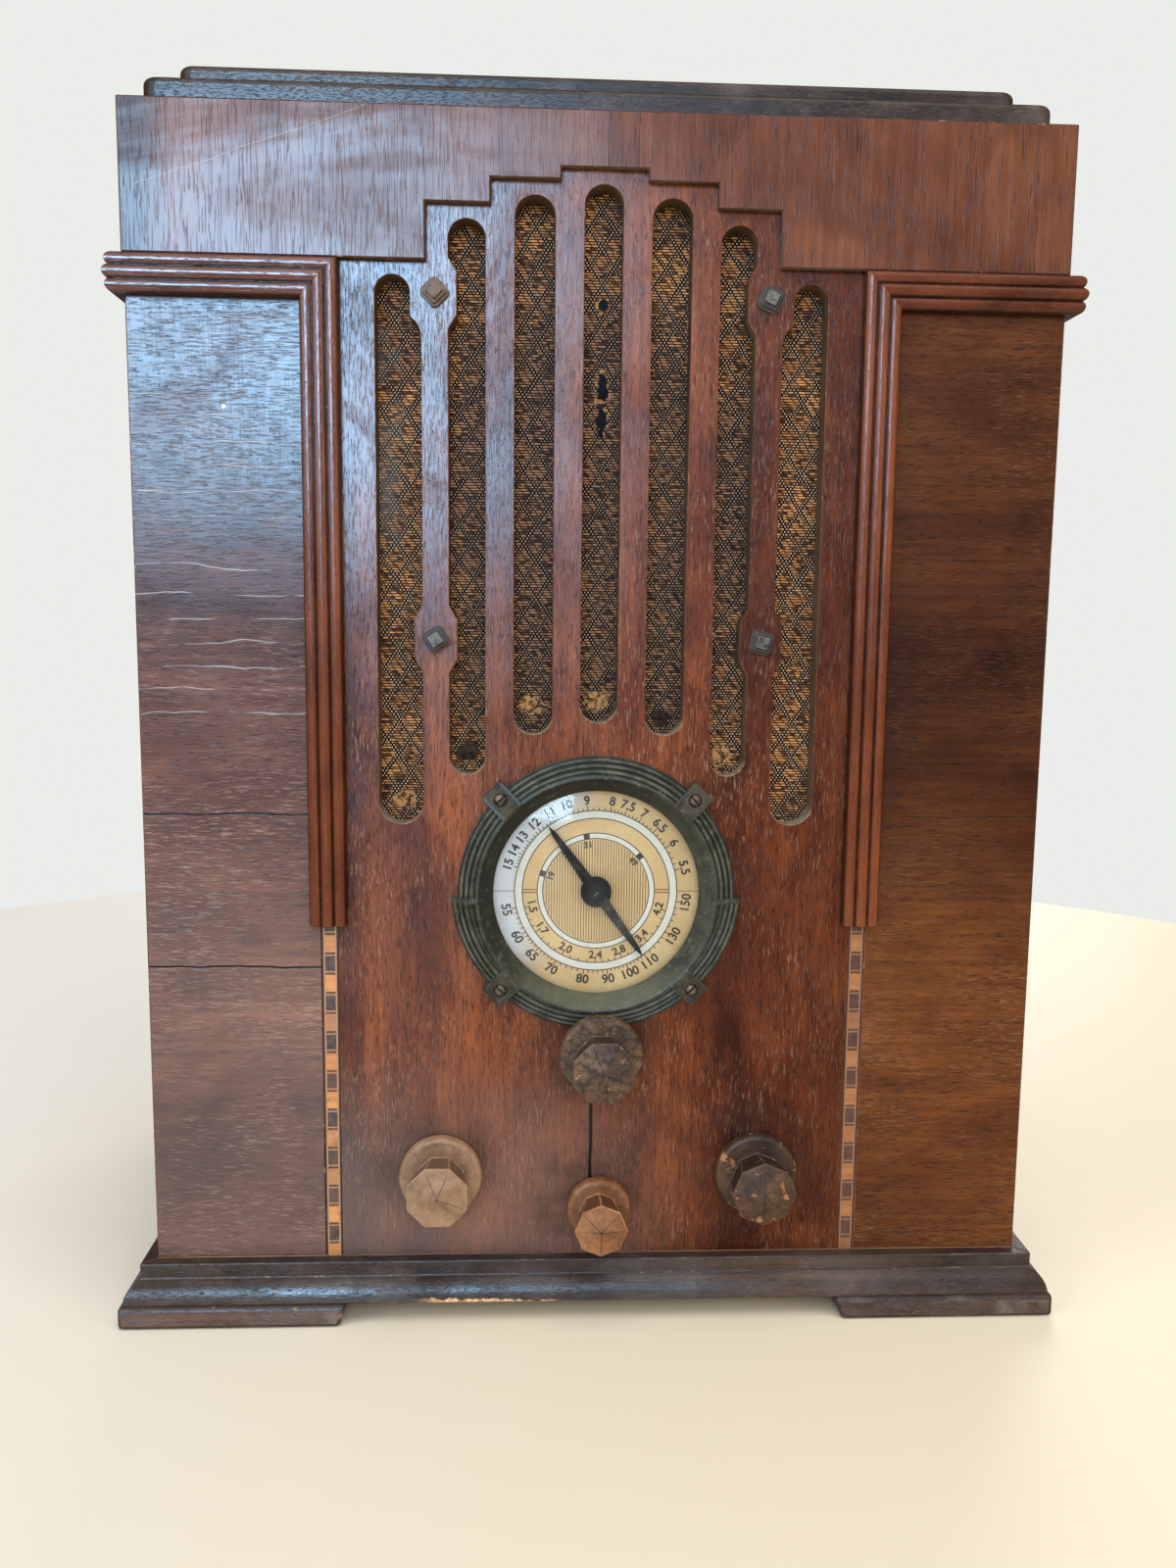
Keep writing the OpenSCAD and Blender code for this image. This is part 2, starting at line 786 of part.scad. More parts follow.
// Paper cone, its clamped rim and the voice coil former
module speaker_cone() {
    rim = speaker_hole_r;
    neck_y = basket_back_y - 6;
    color("#4a3a2a") at_speaker() turned()
        polygon([[rim - 6, speaker_y], [rim + 4, speaker_y], [rim + 4, basket_y], [rim - 6, basket_y],
                 [voice_r, neck_y], [voice_r, basket_back_y + 6], [voice_r - cone_t, basket_back_y + 6],
                 [voice_r - cone_t, neck_y - 1]]);
}

// Iron pot with the ring gap that the voice coil moves in
module field_coil() {
    color("#2b2b2b") at_speaker() difference() {
        rod(pot_r, basket_back_y, basket_back_y + pot_len);
        difference() {
            rod(voice_r + 1.4, basket_back_y - 1, basket_back_y + 10);
            rod(voice_r - cone_t - 0.8, basket_back_y - 2, basket_back_y + 11);
        }
    }
}

// Laminated core with a wound bobbin through it
module output_transformer() {
    core_d = 14;
    bobbin = 7;
    color("slategray") at_speaker() translate([0, basket_back_y, output_z]) {
        translate([-output_w / 2, bobbin, 0]) cube([output_w, core_d, output_h]);
        translate([-output_w / 4, 0, 6]) cube([output_w / 2, core_d + 2 * bobbin, output_h - 12]);
    }
}

// Square stepped heads on the front, hexagon nuts behind the basket
module speaker_bolts() {
    nut_r = bolt_d;
    color("#5a4632") for (side = [-1, 1], i = [0, 1]) translate([side * bolt_x, 0, bolt_z[i]]) {
        for (tier = [0:2]) {
            w = bolt_head_w * (1 - 0.24 * tier);
            rotate([0, bolt_turn[side + 1 + i], 0]) plate(-(tier + 1) * bolt_tier_t, bolt_tier_t)
                intersection() {
                    square(w, center = true);
                    circle(r = w * (0.6 + 0.04 * tier));
                }
        }
        rod(bolt_d / 2, 0, bolt_end_y);
        difference() {
            translate([0, basket_y + basket_t, 0]) rotate([-90, 0, 0])
                cylinder(r = nut_r, h = nut_t, $fn = 6);
            rod(bolt_d / 2 + run_gap, 0, bolt_end_y);
        }
    }
}

// Ring with a sloping inner wall and a throat behind it, two ridged halves around it and four screw straps
module dial_bezel() {
    reach = bezel_r + 10;
    color("#3c4038") difference() {
        translate([0, 0, dial_z]) {
            turned() polygon([[window_r, 0.4], [rim_r - 0.8, -rim_out + 0.3], [rim_r, -rim_out],
                              [rim_r + 1.2, -rim_out + 0.6], [rim_r + 1.2, 0], [throat_r, 0],
                              [throat_r, dial_plate_y], [throat_in_r, dial_plate_y],
                              [throat_in_r, lip_back_y], [window_r, lip_back_y]]);
            intersection() {
                turned() ridges(0);
                translate([-reach, -reach, step_z]) cube([2 * reach, 2 * reach, reach]);
            }
            intersection() {
                translate([0, 0, lower_step]) turned() ridges(lower_step);
                translate([-reach, -reach, step_z - reach]) cube([2 * reach, 2 * reach, reach]);
            }
            both_sides() lower_half_end();
            for (turn = [45:90:315]) rotate([0, turn, 0]) {
                strap_plate(strap_w, 0);
                strap_plate(strap_w - 2.6, 0.6);
            }
        }
        bezel_screw_places() {
            rod(screw_shank_r + run_gap, -rim_out, 1);
            rod(bezel_screw_d / 2 + pass_gap, -rim_out - 4, -strap_seat);
        }
    }
}

// Profile of the three ridges, moved out by grow
module ridges(grow) {
    polygon([[throat_r, 0], [throat_r, -rim_out / 2], [rim_r + 1 + grow, -rim_out + 0.8],
             [bezel_r + grow, -1.6], [bezel_r + grow, 0]]);
    for (i = [0:2]) translate([rim_r + ridge_w * (0.3 + 0.26 * i) + grow, -rim_out + 1.5 + 1.15 * i])
        circle(r = ridge_w / 8);
}

// Flat bar that closes the ridges where the wider lower half begins
module lower_half_end() {
    out_r = bezel_r + lower_step;
    translate([0, 0, step_z - 2]) linear_extrude(2)
        polygon([[throat_r, 0], [throat_r, -rim_out + 0.5], [rim_r + 3, -rim_out + 0.5],
                 [out_r - 0.4, -2.8], [out_r - 0.4, 0]]);
}

// Flat plate over the ridges, from the rim out to the screw's end
module strap_plate(wide, rise) {
    end_r = bezel_r + 4 - rise;
    translate([0, 0, -wide / 2]) linear_extrude(wide)
        polygon([[rim_r - 0.6 + rise / 2, 0], [rim_r - 0.6 + rise / 2, -rim_out - rise],
                 [rim_r + 0.4 + rise / 2, -rim_out - 0.5 - rise], [end_r - 0.8, -strap_seat - rise],
                 [end_r, -strap_seat + 0.9 - rise], [end_r, 0]]);
}

// Round-headed slotted wood screws
module bezel_screws() {
    r = bezel_screw_d / 2;
    color("#6b4a34") bezel_screw_places() difference() {
        union() {
            rod(screw_shank_r, -strap_seat, front_t - 2);
            intersection() {
                rod(r, -strap_seat - 2, -strap_seat);
                translate([0, r * 0.6 - strap_seat, 0]) sphere(r = r * 1.2);
            }
        }
        translate([-0.4, -strap_seat - 3, -r - 1]) cube([0.8, 2.3, 2 * r + 2]);
    }
}

// Domed watch glass
module dial_glass() {
    color("lightcyan", 0.4) translate([0, 0, dial_z]) turned() intersection() {
        translate([0, glass_y - glass_rise + glass_ball_r]) difference() {
            circle(r = glass_ball_r, $fn = 400);
            translate([0, glass_t]) circle(r = glass_ball_r, $fn = 400);
        }
        translate([0, glass_y - glass_rise - 1]) square([glass_r, glass_rise + glass_t + 1]);
    }
}

module dial_plate() {
    color("wheat") plate(dial_plate_y, dial_plate_t) translate([0, dial_z]) difference() {
        circle(r = glass_r);
        circle(r = shaft_r + 1.5);
    }
}

// Shallow pan that presses the dial plate home and carries the lamps
module dial_pan() {
    color("silver") difference() {
        translate([0, 0, dial_z]) turned()
            polygon([[glass_r, pan_rim_y], [glass_r, front_t], [pan_flange_r, front_t],
                     [pan_flange_r, front_t + pan_t], [glass_r, front_t + pan_t], [glass_r, pan_y],
                     [shaft_hole_r, pan_y], [shaft_hole_r, pan_y - pan_t],
                     [glass_r - pan_t, pan_y - pan_t], [glass_r - pan_t, pan_rim_y]]);
        for (x = [-lamp_x, lamp_x]) translate([x, 0, lamp_z])
            rod(lamp_r + pass_gap, pan_y - 2 * pan_t, pan_y + 1);
    }
}

// Flanged sockets pushed in from behind, with a small bulb in each
module dial_lamps() {
    bore_r = lamp_r - 1.2;
    bulb_r = bore_r - run_gap;
    for (x = [-lamp_x, lamp_x]) translate([x, 0, lamp_z]) {
        color("goldenrod") difference() {
            union() {
                rod(lamp_r, pan_y - 5, pan_y + lamp_tail);
                rod(lamp_r + 1.6, pan_y, pan_y + 1);
            }
            rod(bore_r, pan_y - 6, pan_y + lamp_tail - 2);
        }
        color("ivory") {
            rod(bulb_r, pan_y - 6, pan_y + lamp_tail - 2 - run_gap);
            translate([0, pan_y - 6, 0]) sphere(r = bulb_r);
        }
    }
}

// Bent steel stand; the brass bushing of the tuning shaft sits in its front wall
module gang_stand() {
    wall_ys = [gang_y, gang_y + gang_len - stand_t];
    color("darkgray") difference() {
        union() {
            translate([-gang_half_w, gang_y, gang_base_z - stand_t])
                cube([2 * gang_half_w, gang_len, stand_t]);
            for (y = wall_ys) translate([-gang_half_w, y, chassis_h])
                cube([2 * gang_half_w, stand_t, gang_base_z - chassis_h]);
            for (y = [gang_y, gang_y + gang_len - stand_foot]) translate([-gang_half_w, y, chassis_h])
                cube([2 * gang_half_w, stand_foot, stand_t]);
        }
        translate([control_shift, 0, tuning_z]) rod(bushing_r + run_gap, gang_y - 1, gang_y + stand_t + 1);
    }
    color("goldenrod") translate([control_shift, 0, tuning_z]) difference() {
        union() {
            rod(bushing_r, gang_y - 3, gang_y + stand_t + 6);
            rod(bushing_r + 2, gang_y - 3, gang_y - run_gap);
        }
        rod(shaft_r + run_gap, gang_y - 4, gang_y + stand_t + 7);
    }
}

function section_y(i) = gang_y + gang_end_t + i * (section_len + shield_t);

module at_dial_axis() {
    translate([0, 0, dial_z]) children();
}

module gang_wall() {
    circle(r = rotor_r + 4);
    translate([-rotor_r - 4, -gang_axis_h]) square([2 * rotor_r + 8, gang_axis_h]);
}

// Base, two end walls with the bearings, and shields between the sections
module gang_frame() {
    color("gainsboro") at_dial_axis() difference() {
        union() {
            translate([-gang_half_w, gang_y, -gang_axis_h]) cube([2 * gang_half_w, gang_len, gang_base_t]);
            for (y = [gang_y, gang_y + gang_len - gang_end_t]) plate(y, gang_end_t) gang_wall();
            for (i = [1:section_count - 1]) plate(section_y(i) - shield_t, shield_t) difference() {
                gang_wall();
                circle(r = shaft_r + 5);
            }
        }
        rod(shaft_r + run_gap, gang_y - 1, gang_y + gang_len + 1);
    }
}

// Each stack: fixed plates between the rotor's, joined by two bars and stood on an insulator
module gang_stators() {
    reach = rotor_r + 6;
    stack_y = section_margin + plate_t;
    stack_len = (plate_count - 1) * plate_pitch - plate_t;
    color("lightgray") at_dial_axis() for (i = [0:section_count - 1]) translate([0, section_y(i), 0]) {
        for (k = [0:plate_count - 2])
            plate(section_margin + (k + 0.5) * plate_pitch, plate_t) difference() {
                translate([2, -rotor_r]) square([reach - 2, 2 * rotor_r]);
                circle(r = rotor_hub_r + 2.4);
            }
        for (z = [-rotor_r * 0.7, rotor_r * 0.7 - 6])
            translate([rotor_r + 2, stack_y, z]) cube([reach - rotor_r + 1, stack_len, 6]);
        translate([rotor_r - 2, stack_y, -gang_axis_h + gang_base_t])
            cube([reach - rotor_r + 2, stack_len, gang_axis_h - gang_base_t - rotor_r + 1]);
    }
}

// Shaft with half-round plates that swing between the fixed ones
module gang_rotor() {
    color("silver") at_dial_axis() {
        rod(shaft_r, pointer_y, gang_y + gang_len + 3);
        for (i = [0:section_count - 1]) {
            y = section_y(i) + section_margin;
            rod(rotor_hub_r, y - 0.8, y + (plate_count - 1) * plate_pitch + plate_t + 0.8);
            for (k = [0:plate_count - 1]) plate(y + k * plate_pitch, plate_t) rotate(rotor_turn)
                intersection() {
                    circle(r = rotor_r);
                    translate([-2, -rotor_r]) square([rotor_r + 2, 2 * rotor_r]);
                }
        }
    }
}

// Thin disc with round holes, on a hub fixed to the rotor's shaft
module drive_disc() {
    hole_count = 5;
    color("burlywood") at_dial_axis() difference() {
        union() {
            rod(disc_r, disc_y, disc_y + disc_t);
            rod(shaft_r + 5, disc_y, disc_y + disc_t + hub_len);
        }
        rod(shaft_r + run_gap, disc_y - 1, disc_y + disc_t + hub_len + 1);
        for (i = [0:hole_count - 1]) rotate([0, i * 360 / hole_count, 0]) translate([disc_r * 0.6, 0, 0])
            rod(disc_r * 0.16, disc_y - 1, disc_y + disc_t + 1);
    }
}

// Double-ended tapered hand with a round boss
module dial_pointer() {
    boss_r = shaft_r + 2.8;
    arm_t = 0.8;
    color("#1c1a18") at_dial_axis() difference() {
        union() {
            plate(pointer_y, arm_t) rotate(pointer_angle) for (turn = [0, 180]) rotate(turn)
                polygon([[0, -2.4], [pointer_len - 4, -1], [pointer_len, 0], [pointer_len - 4, 1], [0, 2.4]]);
            rod(boss_r, pointer_y - 0.8, pointer_y + arm_t + 0.2);
        }
        rod(shaft_r + run_gap, pointer_y, pointer_y + 3);
    }
}

// Front end of a shaft inside a knob that stands off the front by a gap
function shaft_front(gap) = 0.5 - gap - knob_bore_deep;

// Shaft with the two washers that grip the disc's rim, and a collar behind its bushing
module tuning_shaft() {
    tail_y = gang_y + stand_t + 6 + pass_gap;
    rim_y = disc_y + disc_t + pass_gap;
    color("silver") translate([control_shift, 0, tuning_z]) {
        rod(shaft_r, shaft_front(tuning_gap), tail_y + washer_t);
        rod(pinch_r, disc_y - pass_gap - washer_t, disc_y - pass_gap);
        rod(pinch_r, rim_y, rim_y + washer_t);
        rod(shaft_r + 2, tail_y, tail_y + washer_t);
    }
}

// Round flange with a soft edge, and an eight-sided head that widens to a low pyramid
module knob(gap, flange_r, root_r, face_r, turn) {
    edge_r = knob_flange_t * 0.4;
    head_len = knob_len - knob_flange_t - knob_crown;
    head_root = knob_flange_t / 3;
    rotate([90, 0, 0]) translate([0, 0, gap]) difference() {
        union() {
            rotate_extrude() {
                square([flange_r - edge_r, knob_flange_t]);
                square([flange_r, knob_flange_t - edge_r]);
                translate([flange_r - edge_r, knob_flange_t - edge_r]) circle(r = edge_r);
            }
            translate([0, 0, knob_flange_t - head_root]) rotate(turn) hull() {
                cylinder(r1 = root_r, r2 = face_r, h = head_len + head_root, $fn = 8);
                translate([0, 0, head_len + head_root])
                    cylinder(r1 = face_r, r2 = 0, h = knob_crown, $fn = 8);
            }
        }
        translate([0, 0, -1]) cylinder(r = shaft_r + run_gap, h = knob_bore_deep + 1);
    }
}

module tuning_knob() {
    color("#4a2f20") translate([control_shift, 0, tuning_z])
        knob(tuning_gap, knob_flange_d / 2, knob_root_r, knob_face_r, flat_up);
}

module volume_knob() {
    color("#b08a5c") translate([control_xs[0], 0, control_z])
        knob(knob_gap, knob_flange_d / 2, knob_root_r, knob_face_r, flat_up);
}

module tone_knob() {
    color("#4a2f20") translate([control_xs[1], 0, control_z])
        knob(knob_gap, knob_flange_d / 2, knob_root_r, knob_face_r, corner_up);
}

module band_knob() {
    color("#a5672f") translate([control_shift, 0, band_z])
        knob(knob_gap, band_flange_d / 2, band_root_r, band_face_r, corner_up);
}

// Round case behind the chassis front, threaded bush through it, three tags below
module potentiometers() {
    color("dimgray") for (x = control_xs) translate([x, 0, control_z]) difference() {
        union() {
            rod(pot_case_r, chassis_y + chassis_t, chassis_y + chassis_t + pot_case_t);
            rod(thread_r, chassis_y - bush_len, chassis_y + chassis_t + 1);
            for (tag = [-6, 0, 6]) translate([tag - 1.5, chassis_y + chassis_t + 4, -pot_case_r - 6])
                cube([3, 0.8, 10]);
        }
        rod(shaft_r + run_gap, chassis_y - bush_len - 1, chassis_y + chassis_t + 9);
    }
}

module control_shaft(end_y) {
    rod(shaft_r, shaft_front(knob_gap), end_y);
}

module volume_shaft() {
    color("silver") translate([control_xs[0], 0, control_z]) control_shaft(chassis_y + chassis_t + 8);
}

module tone_shaft() {
    color("silver") translate([control_xs[1], 0, control_z]) control_shaft(chassis_y + chassis_t + 8);
}

// Index plate and bush, with a contact wafer on two spacer posts
module band_switch() {
    color("peru") translate([control_shift, 0, band_z]) difference() {
        union() {
            rod(thread_r, chassis_y - bush_len, chassis_y + chassis_t + 1);
            translate([-17, chassis_y + chassis_t, -11]) cube([34, 4, 22]);
            for (x = [-11.5, 11.5]) translate([x, 0, 0])
                rod(1.6, chassis_y + chassis_t + 2, wafer_y + wafer_t + 1);
            rod(wafer_r, wafer_y, wafer_y + wafer_t);
        }
        rod(shaft_r + run_gap, chassis_y - bush_len - 1, wafer_y - 2);
        rod(wafer_rotor_r + pass_gap, wafer_y - 1, wafer_y + wafer_t + 1);
    }
}

module band_shaft() {
    color("silver") translate([control_shift, 0, band_z]) {
        control_shaft(wafer_y + wafer_t + 2);
        rod(wafer_rotor_r, wafer_y, wafer_y + wafer_t);
    }
}

module control_nuts() {
    color("goldenrod") for (at = control_places) translate([at[0], 0, at[1]]) difference() {
        translate([0, chassis_y, 0]) rotate([90, 0, 0])
            cylinder(r = thread_r + 2.6, h = control_nut_t, $fn = 6);
        rod(thread_r + run_gap, chassis_y - control_nut_t - 1, chassis_y + 1);
    }
}

// Folded pan, open below, with fixing tabs in its corners
module chassis() {
    color("#8d8f8a") difference() {
        union() {
            translate([control_shift - chassis_half_w, chassis_y, 0]) difference() {
                cube([chassis_w, chassis_d, chassis_h]);
                translate([chassis_t, chassis_t, -1])
                    cube([chassis_w - 2 * chassis_t, chassis_d - 2 * chassis_t, chassis_h - chassis_t + 1]);
            }
            for (at = chassis_bolts_at) translate([at[0] - tab_w / 2, at[1] - tab_w / 2, 0])
                cube([tab_w, tab_w, chassis_t]);
        }
        for (at = chassis_bolts_at) translate([at[0], at[1], -1])
            cylinder(d = chassis_bolt_d + 2 * pass_gap, h = 10);
        for (at = all_valves) translate([at[0], at[1], chassis_h - 5])
            cylinder(r = socket_boss_r + pass_gap, h = 6);
        for (at = control_places) translate([at[0], 0, at[1]])
            rod(thread_r + pass_gap, chassis_y - 1, chassis_y + 2 * chassis_t);
        translate([grommet_x, 0, rear_z])
            rod(grommet_neck_r + run_gap, chassis_back_y - 5, chassis_back_y + 1);
        translate([speaker_socket_x, 0, rear_z])
            rod(speaker_socket_r + pass_gap, chassis_back_y - 5, chassis_back_y + 1);
    }
}

// Bolts up through the bottom board, with a nut on each chassis tab
module chassis_bolts() {
    nut_h = 4;
    color("silver") for (at = chassis_bolts_at) translate([at[0], at[1], 0]) {
        translate([0, 0, -base_h + 0.5]) cylinder(r = bolt_head_r, h = bolt_head_h - 0.5);
        translate([0, 0, -base_h + 1]) cylinder(d = chassis_bolt_d, h = base_h + chassis_t + nut_h + 1);
        difference() {
            translate([0, 0, chassis_t]) cylinder(r = chassis_bolt_d, h = nut_h, $fn = 6);
            cylinder(d = chassis_bolt_d + 2 * run_gap, h = 4 * nut_h);
        }
    }
}

// Laminated core upright on the chassis, with a rounded shell on each face
module power_transformer() {
    shell = 20;
    shell_r = 9;
    color("#2f2f2f") translate([power_x, power_y, chassis_h]) {
        translate([-power_w / 2, -power_d / 2, 0]) cube([power_w, power_d, power_h]);
        for (turn = [0, 180]) rotate(turn) hull() {
            for (x = [-1, 1], z = [10 + shell_r, power_h - 8 - shell_r])
                translate([x * (power_w / 2 - 12 - shell_r), 0, z]) {
                    translate([0, power_d / 2 + run_gap, 0]) rotate([-90, 0, 0])
                        cylinder(r = shell_r, h = shell - shell_r, $fn = 32);
                    translate([0, power_d / 2 + shell - shell_r, 0]) sphere(r = shell_r, $fn = 24);
                }
        }
    }
}

// Cans with a rolled top edge
module filter_cans() {
    edge = 3;
    color("silver") for (y = filter_ys) translate([filter_x, y, chassis_h])
        rotate_extrude() {
            square([filter_r - edge, filter_h]);
            square([filter_r, filter_h - edge]);
            translate([filter_r - edge, filter_h - edge]) circle(r = edge);
        }
}

module valve_sockets() {
    color("#3b2a1a") for (at = all_valves) translate([at[0], at[1], chassis_h]) {
        cylinder(r = socket_boss_r + 4, h = socket_t);
        translate([0, 0, -6]) cylinder(r = socket_boss_r, h = 7);
    }
}

module valve_bases() {
    color("#231a14") for (at = all_valves) translate([at[0], at[1], chassis_h + socket_t])
        cylinder(r = valve_base_r, h = valve_base_h);
}

// Bulb with a wide belly and a narrower dome
module valve_bulb(r) {
    dome = r * 0.66;
    cylinder(r1 = valve_base_r - 2, r2 = r, h = bulb_h * 0.25);
    translate([0, 0, bulb_h * 0.25]) cylinder(r = r, h = bulb_h * 0.2);
    translate([0, 0, bulb_h * 0.45]) cylinder(r1 = r, r2 = dome, h = bulb_h * 0.22);
    translate([0, 0, bulb_h * 0.67]) cylinder(r = dome, h = bulb_h * 0.33 - dome);
    translate([0, 0, bulb_h - dome]) sphere(r = dome);
}

// The screened valves carry a grid cap on top
module valve_bulbs() {
    bulb_z = chassis_h + socket_t + valve_base_h;
    color("lightblue", 0.5) {
        for (at = small_valves) translate([at[0], at[1], bulb_z]) valve_bulb(valve_r);
        for (at = shielded_valves) translate([at[0], at[1], bulb_z + bulb_h - 2])
            cylinder(r = grid_cap_r, h = 8);
        translate([rectifier[0], rectifier[1], bulb_z]) valve_bulb(rectifier_r);
    }
}

// Open-topped screening cans round the first three valves
module valve_shields() {
    tall = socket_t + valve_base_h + bulb_h * 0.6;
    color("gainsboro") for (at = shielded_valves) translate([at[0], at[1], chassis_h]) difference() {
        union() {
            cylinder(r = shield_in_r + can_wall, h = tall);
            cylinder(r = shield_flange_r, h = 1);
        }
        translate([0, 0, -1]) cylinder(r = shield_in_r, h = tall + 2);
    }
}

// Square cans with round upright edges
module coil_cans() {
    corner = 4;
    flat = coil_can_w / 2 - corner;
    color("lightgray") for (at = coil_cans_at) translate([at[0], at[1], chassis_h])
        linear_extrude(coil_can_h) {
            translate([-coil_can_w / 2, -flat]) square([coil_can_w, 2 * flat]);
            translate([-flat, -coil_can_w / 2]) square([2 * flat, coil_can_w]);
            for (x = [-flat, flat], y = [-flat, flat]) translate([x, y]) circle(r = corner);
        }
}

// Rubber ring gripping the chassis wall round the mains cord hole
module cord_grommet() {
    lip = 2;
    inner_y = chassis_back_y - chassis_t;
    color("#222222") translate([grommet_x, 0, rear_z]) turned()
        polygon([[cord_hole_r, inner_y - lip], [grommet_neck_r + lip, inner_y - lip],
                 [grommet_neck_r + lip, inner_y], [grommet_neck_r, inner_y], [grommet_neck_r, chassis_back_y],
                 [grommet_neck_r + lip, chassis_back_y], [grommet_neck_r + lip, chassis_back_y + lip],
                 [cord_hole_r, chassis_back_y + lip]]);
}

// Aerial and earth screws on a strip, and the five-pin socket for the speaker plug
module rear_terminals() {
    strip_w = 44;
    strip_h = 16;
    strip_t = 3;
    screw_r = 2;
    color("#3b2a1a") translate([terminal_x, chassis_back_y, rear_z]) difference() {
        translate([-strip_w / 2, 0, -strip_h / 2]) cube([strip_w, strip_t, strip_h]);
        for (x = [-11, 11]) translate([x, 0, 0]) rod(screw_r + run_gap, -1, strip_t + 1);
    }
    color("goldenrod") for (x = [-11, 11]) translate([terminal_x + x, chassis_back_y, rear_z]) {
        rod(screw_r, run_gap, strip_t + 3);
        rod(2 * screw_r, strip_t + run_gap, strip_t + 2.5);
    }
    color("#3b2a1a") translate([speaker_socket_x, 0, rear_z]) difference() {
        union() {
            rod(speaker_socket_r, chassis_back_y - 5, chassis_back_y + 1);
            rod(speaker_socket_r + 3, chassis_back_y, chassis_back_y + 2);
        }
        for (turn = [0:72:288]) rotate([0, turn, 0]) translate([speaker_socket_r * 0.6, 0, 0])
            rod(1.6, chassis_back_y - 6, chassis_back_y + 3);
    }
}

placed() grille_panel();
placed() left_stile();
placed() right_stile();
placed() header_panel();
placed() left_side();
placed() right_side();
placed() top_board();
placed() lower_top_step();
placed() upper_top_step();
placed() bottom_board();
placed() base_front_moulding();
placed() base_left_moulding();
placed() base_right_moulding();
placed() feet();
placed() cap_mouldings();
placed() cap_returns();
placed() post_mouldings();
placed() inlay_strips();
placed() glue_blocks();
placed() grille_cloth();
placed() speaker_baffle();
placed() speaker_basket();
placed() speaker_cone();
placed() field_coil();
placed() output_transformer();
placed() speaker_bolts();
placed() dial_bezel();
placed() bezel_screws();
placed() dial_glass();
placed() dial_plate();
placed() dial_pan();
placed() dial_lamps();
placed() gang_stand();
placed() gang_frame();
placed() gang_stators();
placed() gang_rotor();
placed() drive_disc();
placed() dial_pointer();
placed() tuning_shaft();
placed() tuning_knob();
placed() potentiometers();
placed() volume_shaft();
placed() volume_knob();
placed() tone_shaft();
placed() tone_knob();
placed() band_switch();
placed() band_shaft();
placed() band_knob();
placed() control_nuts();
placed() chassis();
placed() chassis_bolts();
placed() power_transformer();
placed() filter_cans();
placed() valve_sockets();
placed() valve_bases();
placed() valve_bulbs();
placed() valve_shields();
placed() coil_cans();
placed() cord_grommet();
placed() rear_terminals();
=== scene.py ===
# %% [markdown]
# # A tombstone table radio, dressed for its picture
# The solids of this radio come ready made, in metres, standing on z = 0 with the front facing -Y. This
# lesson gives them wood, cloth, metal and glass. Nothing is moved: a piece that needs a softer edge or a
# finer form is made again in the same place and takes over from its solid.

# %% Load the solids and measure them
import json
import math
from functools import reduce

import bmesh
import bpy
from mathutils import Matrix, Vector


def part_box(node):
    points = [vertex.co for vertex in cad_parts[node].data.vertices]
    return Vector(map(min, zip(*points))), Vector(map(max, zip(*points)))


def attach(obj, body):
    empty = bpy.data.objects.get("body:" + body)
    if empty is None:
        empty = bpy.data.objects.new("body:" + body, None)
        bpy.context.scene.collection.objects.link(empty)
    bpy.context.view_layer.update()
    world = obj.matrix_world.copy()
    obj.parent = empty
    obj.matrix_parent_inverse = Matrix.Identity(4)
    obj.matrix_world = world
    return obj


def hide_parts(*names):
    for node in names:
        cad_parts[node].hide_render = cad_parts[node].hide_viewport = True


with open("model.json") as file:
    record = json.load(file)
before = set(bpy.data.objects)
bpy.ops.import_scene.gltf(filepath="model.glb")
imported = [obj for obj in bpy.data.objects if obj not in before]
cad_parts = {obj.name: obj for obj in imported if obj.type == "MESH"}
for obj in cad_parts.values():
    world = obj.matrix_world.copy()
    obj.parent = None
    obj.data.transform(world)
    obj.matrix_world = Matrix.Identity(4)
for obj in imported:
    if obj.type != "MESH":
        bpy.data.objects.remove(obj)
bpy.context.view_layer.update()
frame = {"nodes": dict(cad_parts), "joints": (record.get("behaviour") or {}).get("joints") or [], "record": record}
nodes = frame["nodes"]
body_of_node = {n: b for b, members in frame["record"]["behaviour"]["bodies"].items() for n in members}
joint_at = {j["name"]: Vector(j["pos_m"]) for j in frame["joints"]}
mm = 0.001
front_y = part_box("grille_panel")[0].y
panel_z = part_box("grille_panel")[0].z
dial_x, dial_z = joint_at["pointer_turn"].x, joint_at["pointer_turn"].z
print("solids:", len(nodes), "front face at y =", round(front_y, 5))

# %% [markdown]
# ## A small kit for node trees
# Every finish below is a tree of nodes. Adding and linking nodes by hand fills pages, so one class wraps a
# socket and lets Python's own operators add Math nodes. A plain number may also stand on the left of an
# operator: Python then asks for its reflected form, which swaps the two values.

# %% Wires
def maths(operation, swapped=False):
    """A method that adds one Math node."""
    def method(self, *other):
        values = (*other, self) if swapped else (self, *other)
        return self.graph.add("ShaderNodeMath", {"operation": operation}, dict(enumerate(values)))
    return method


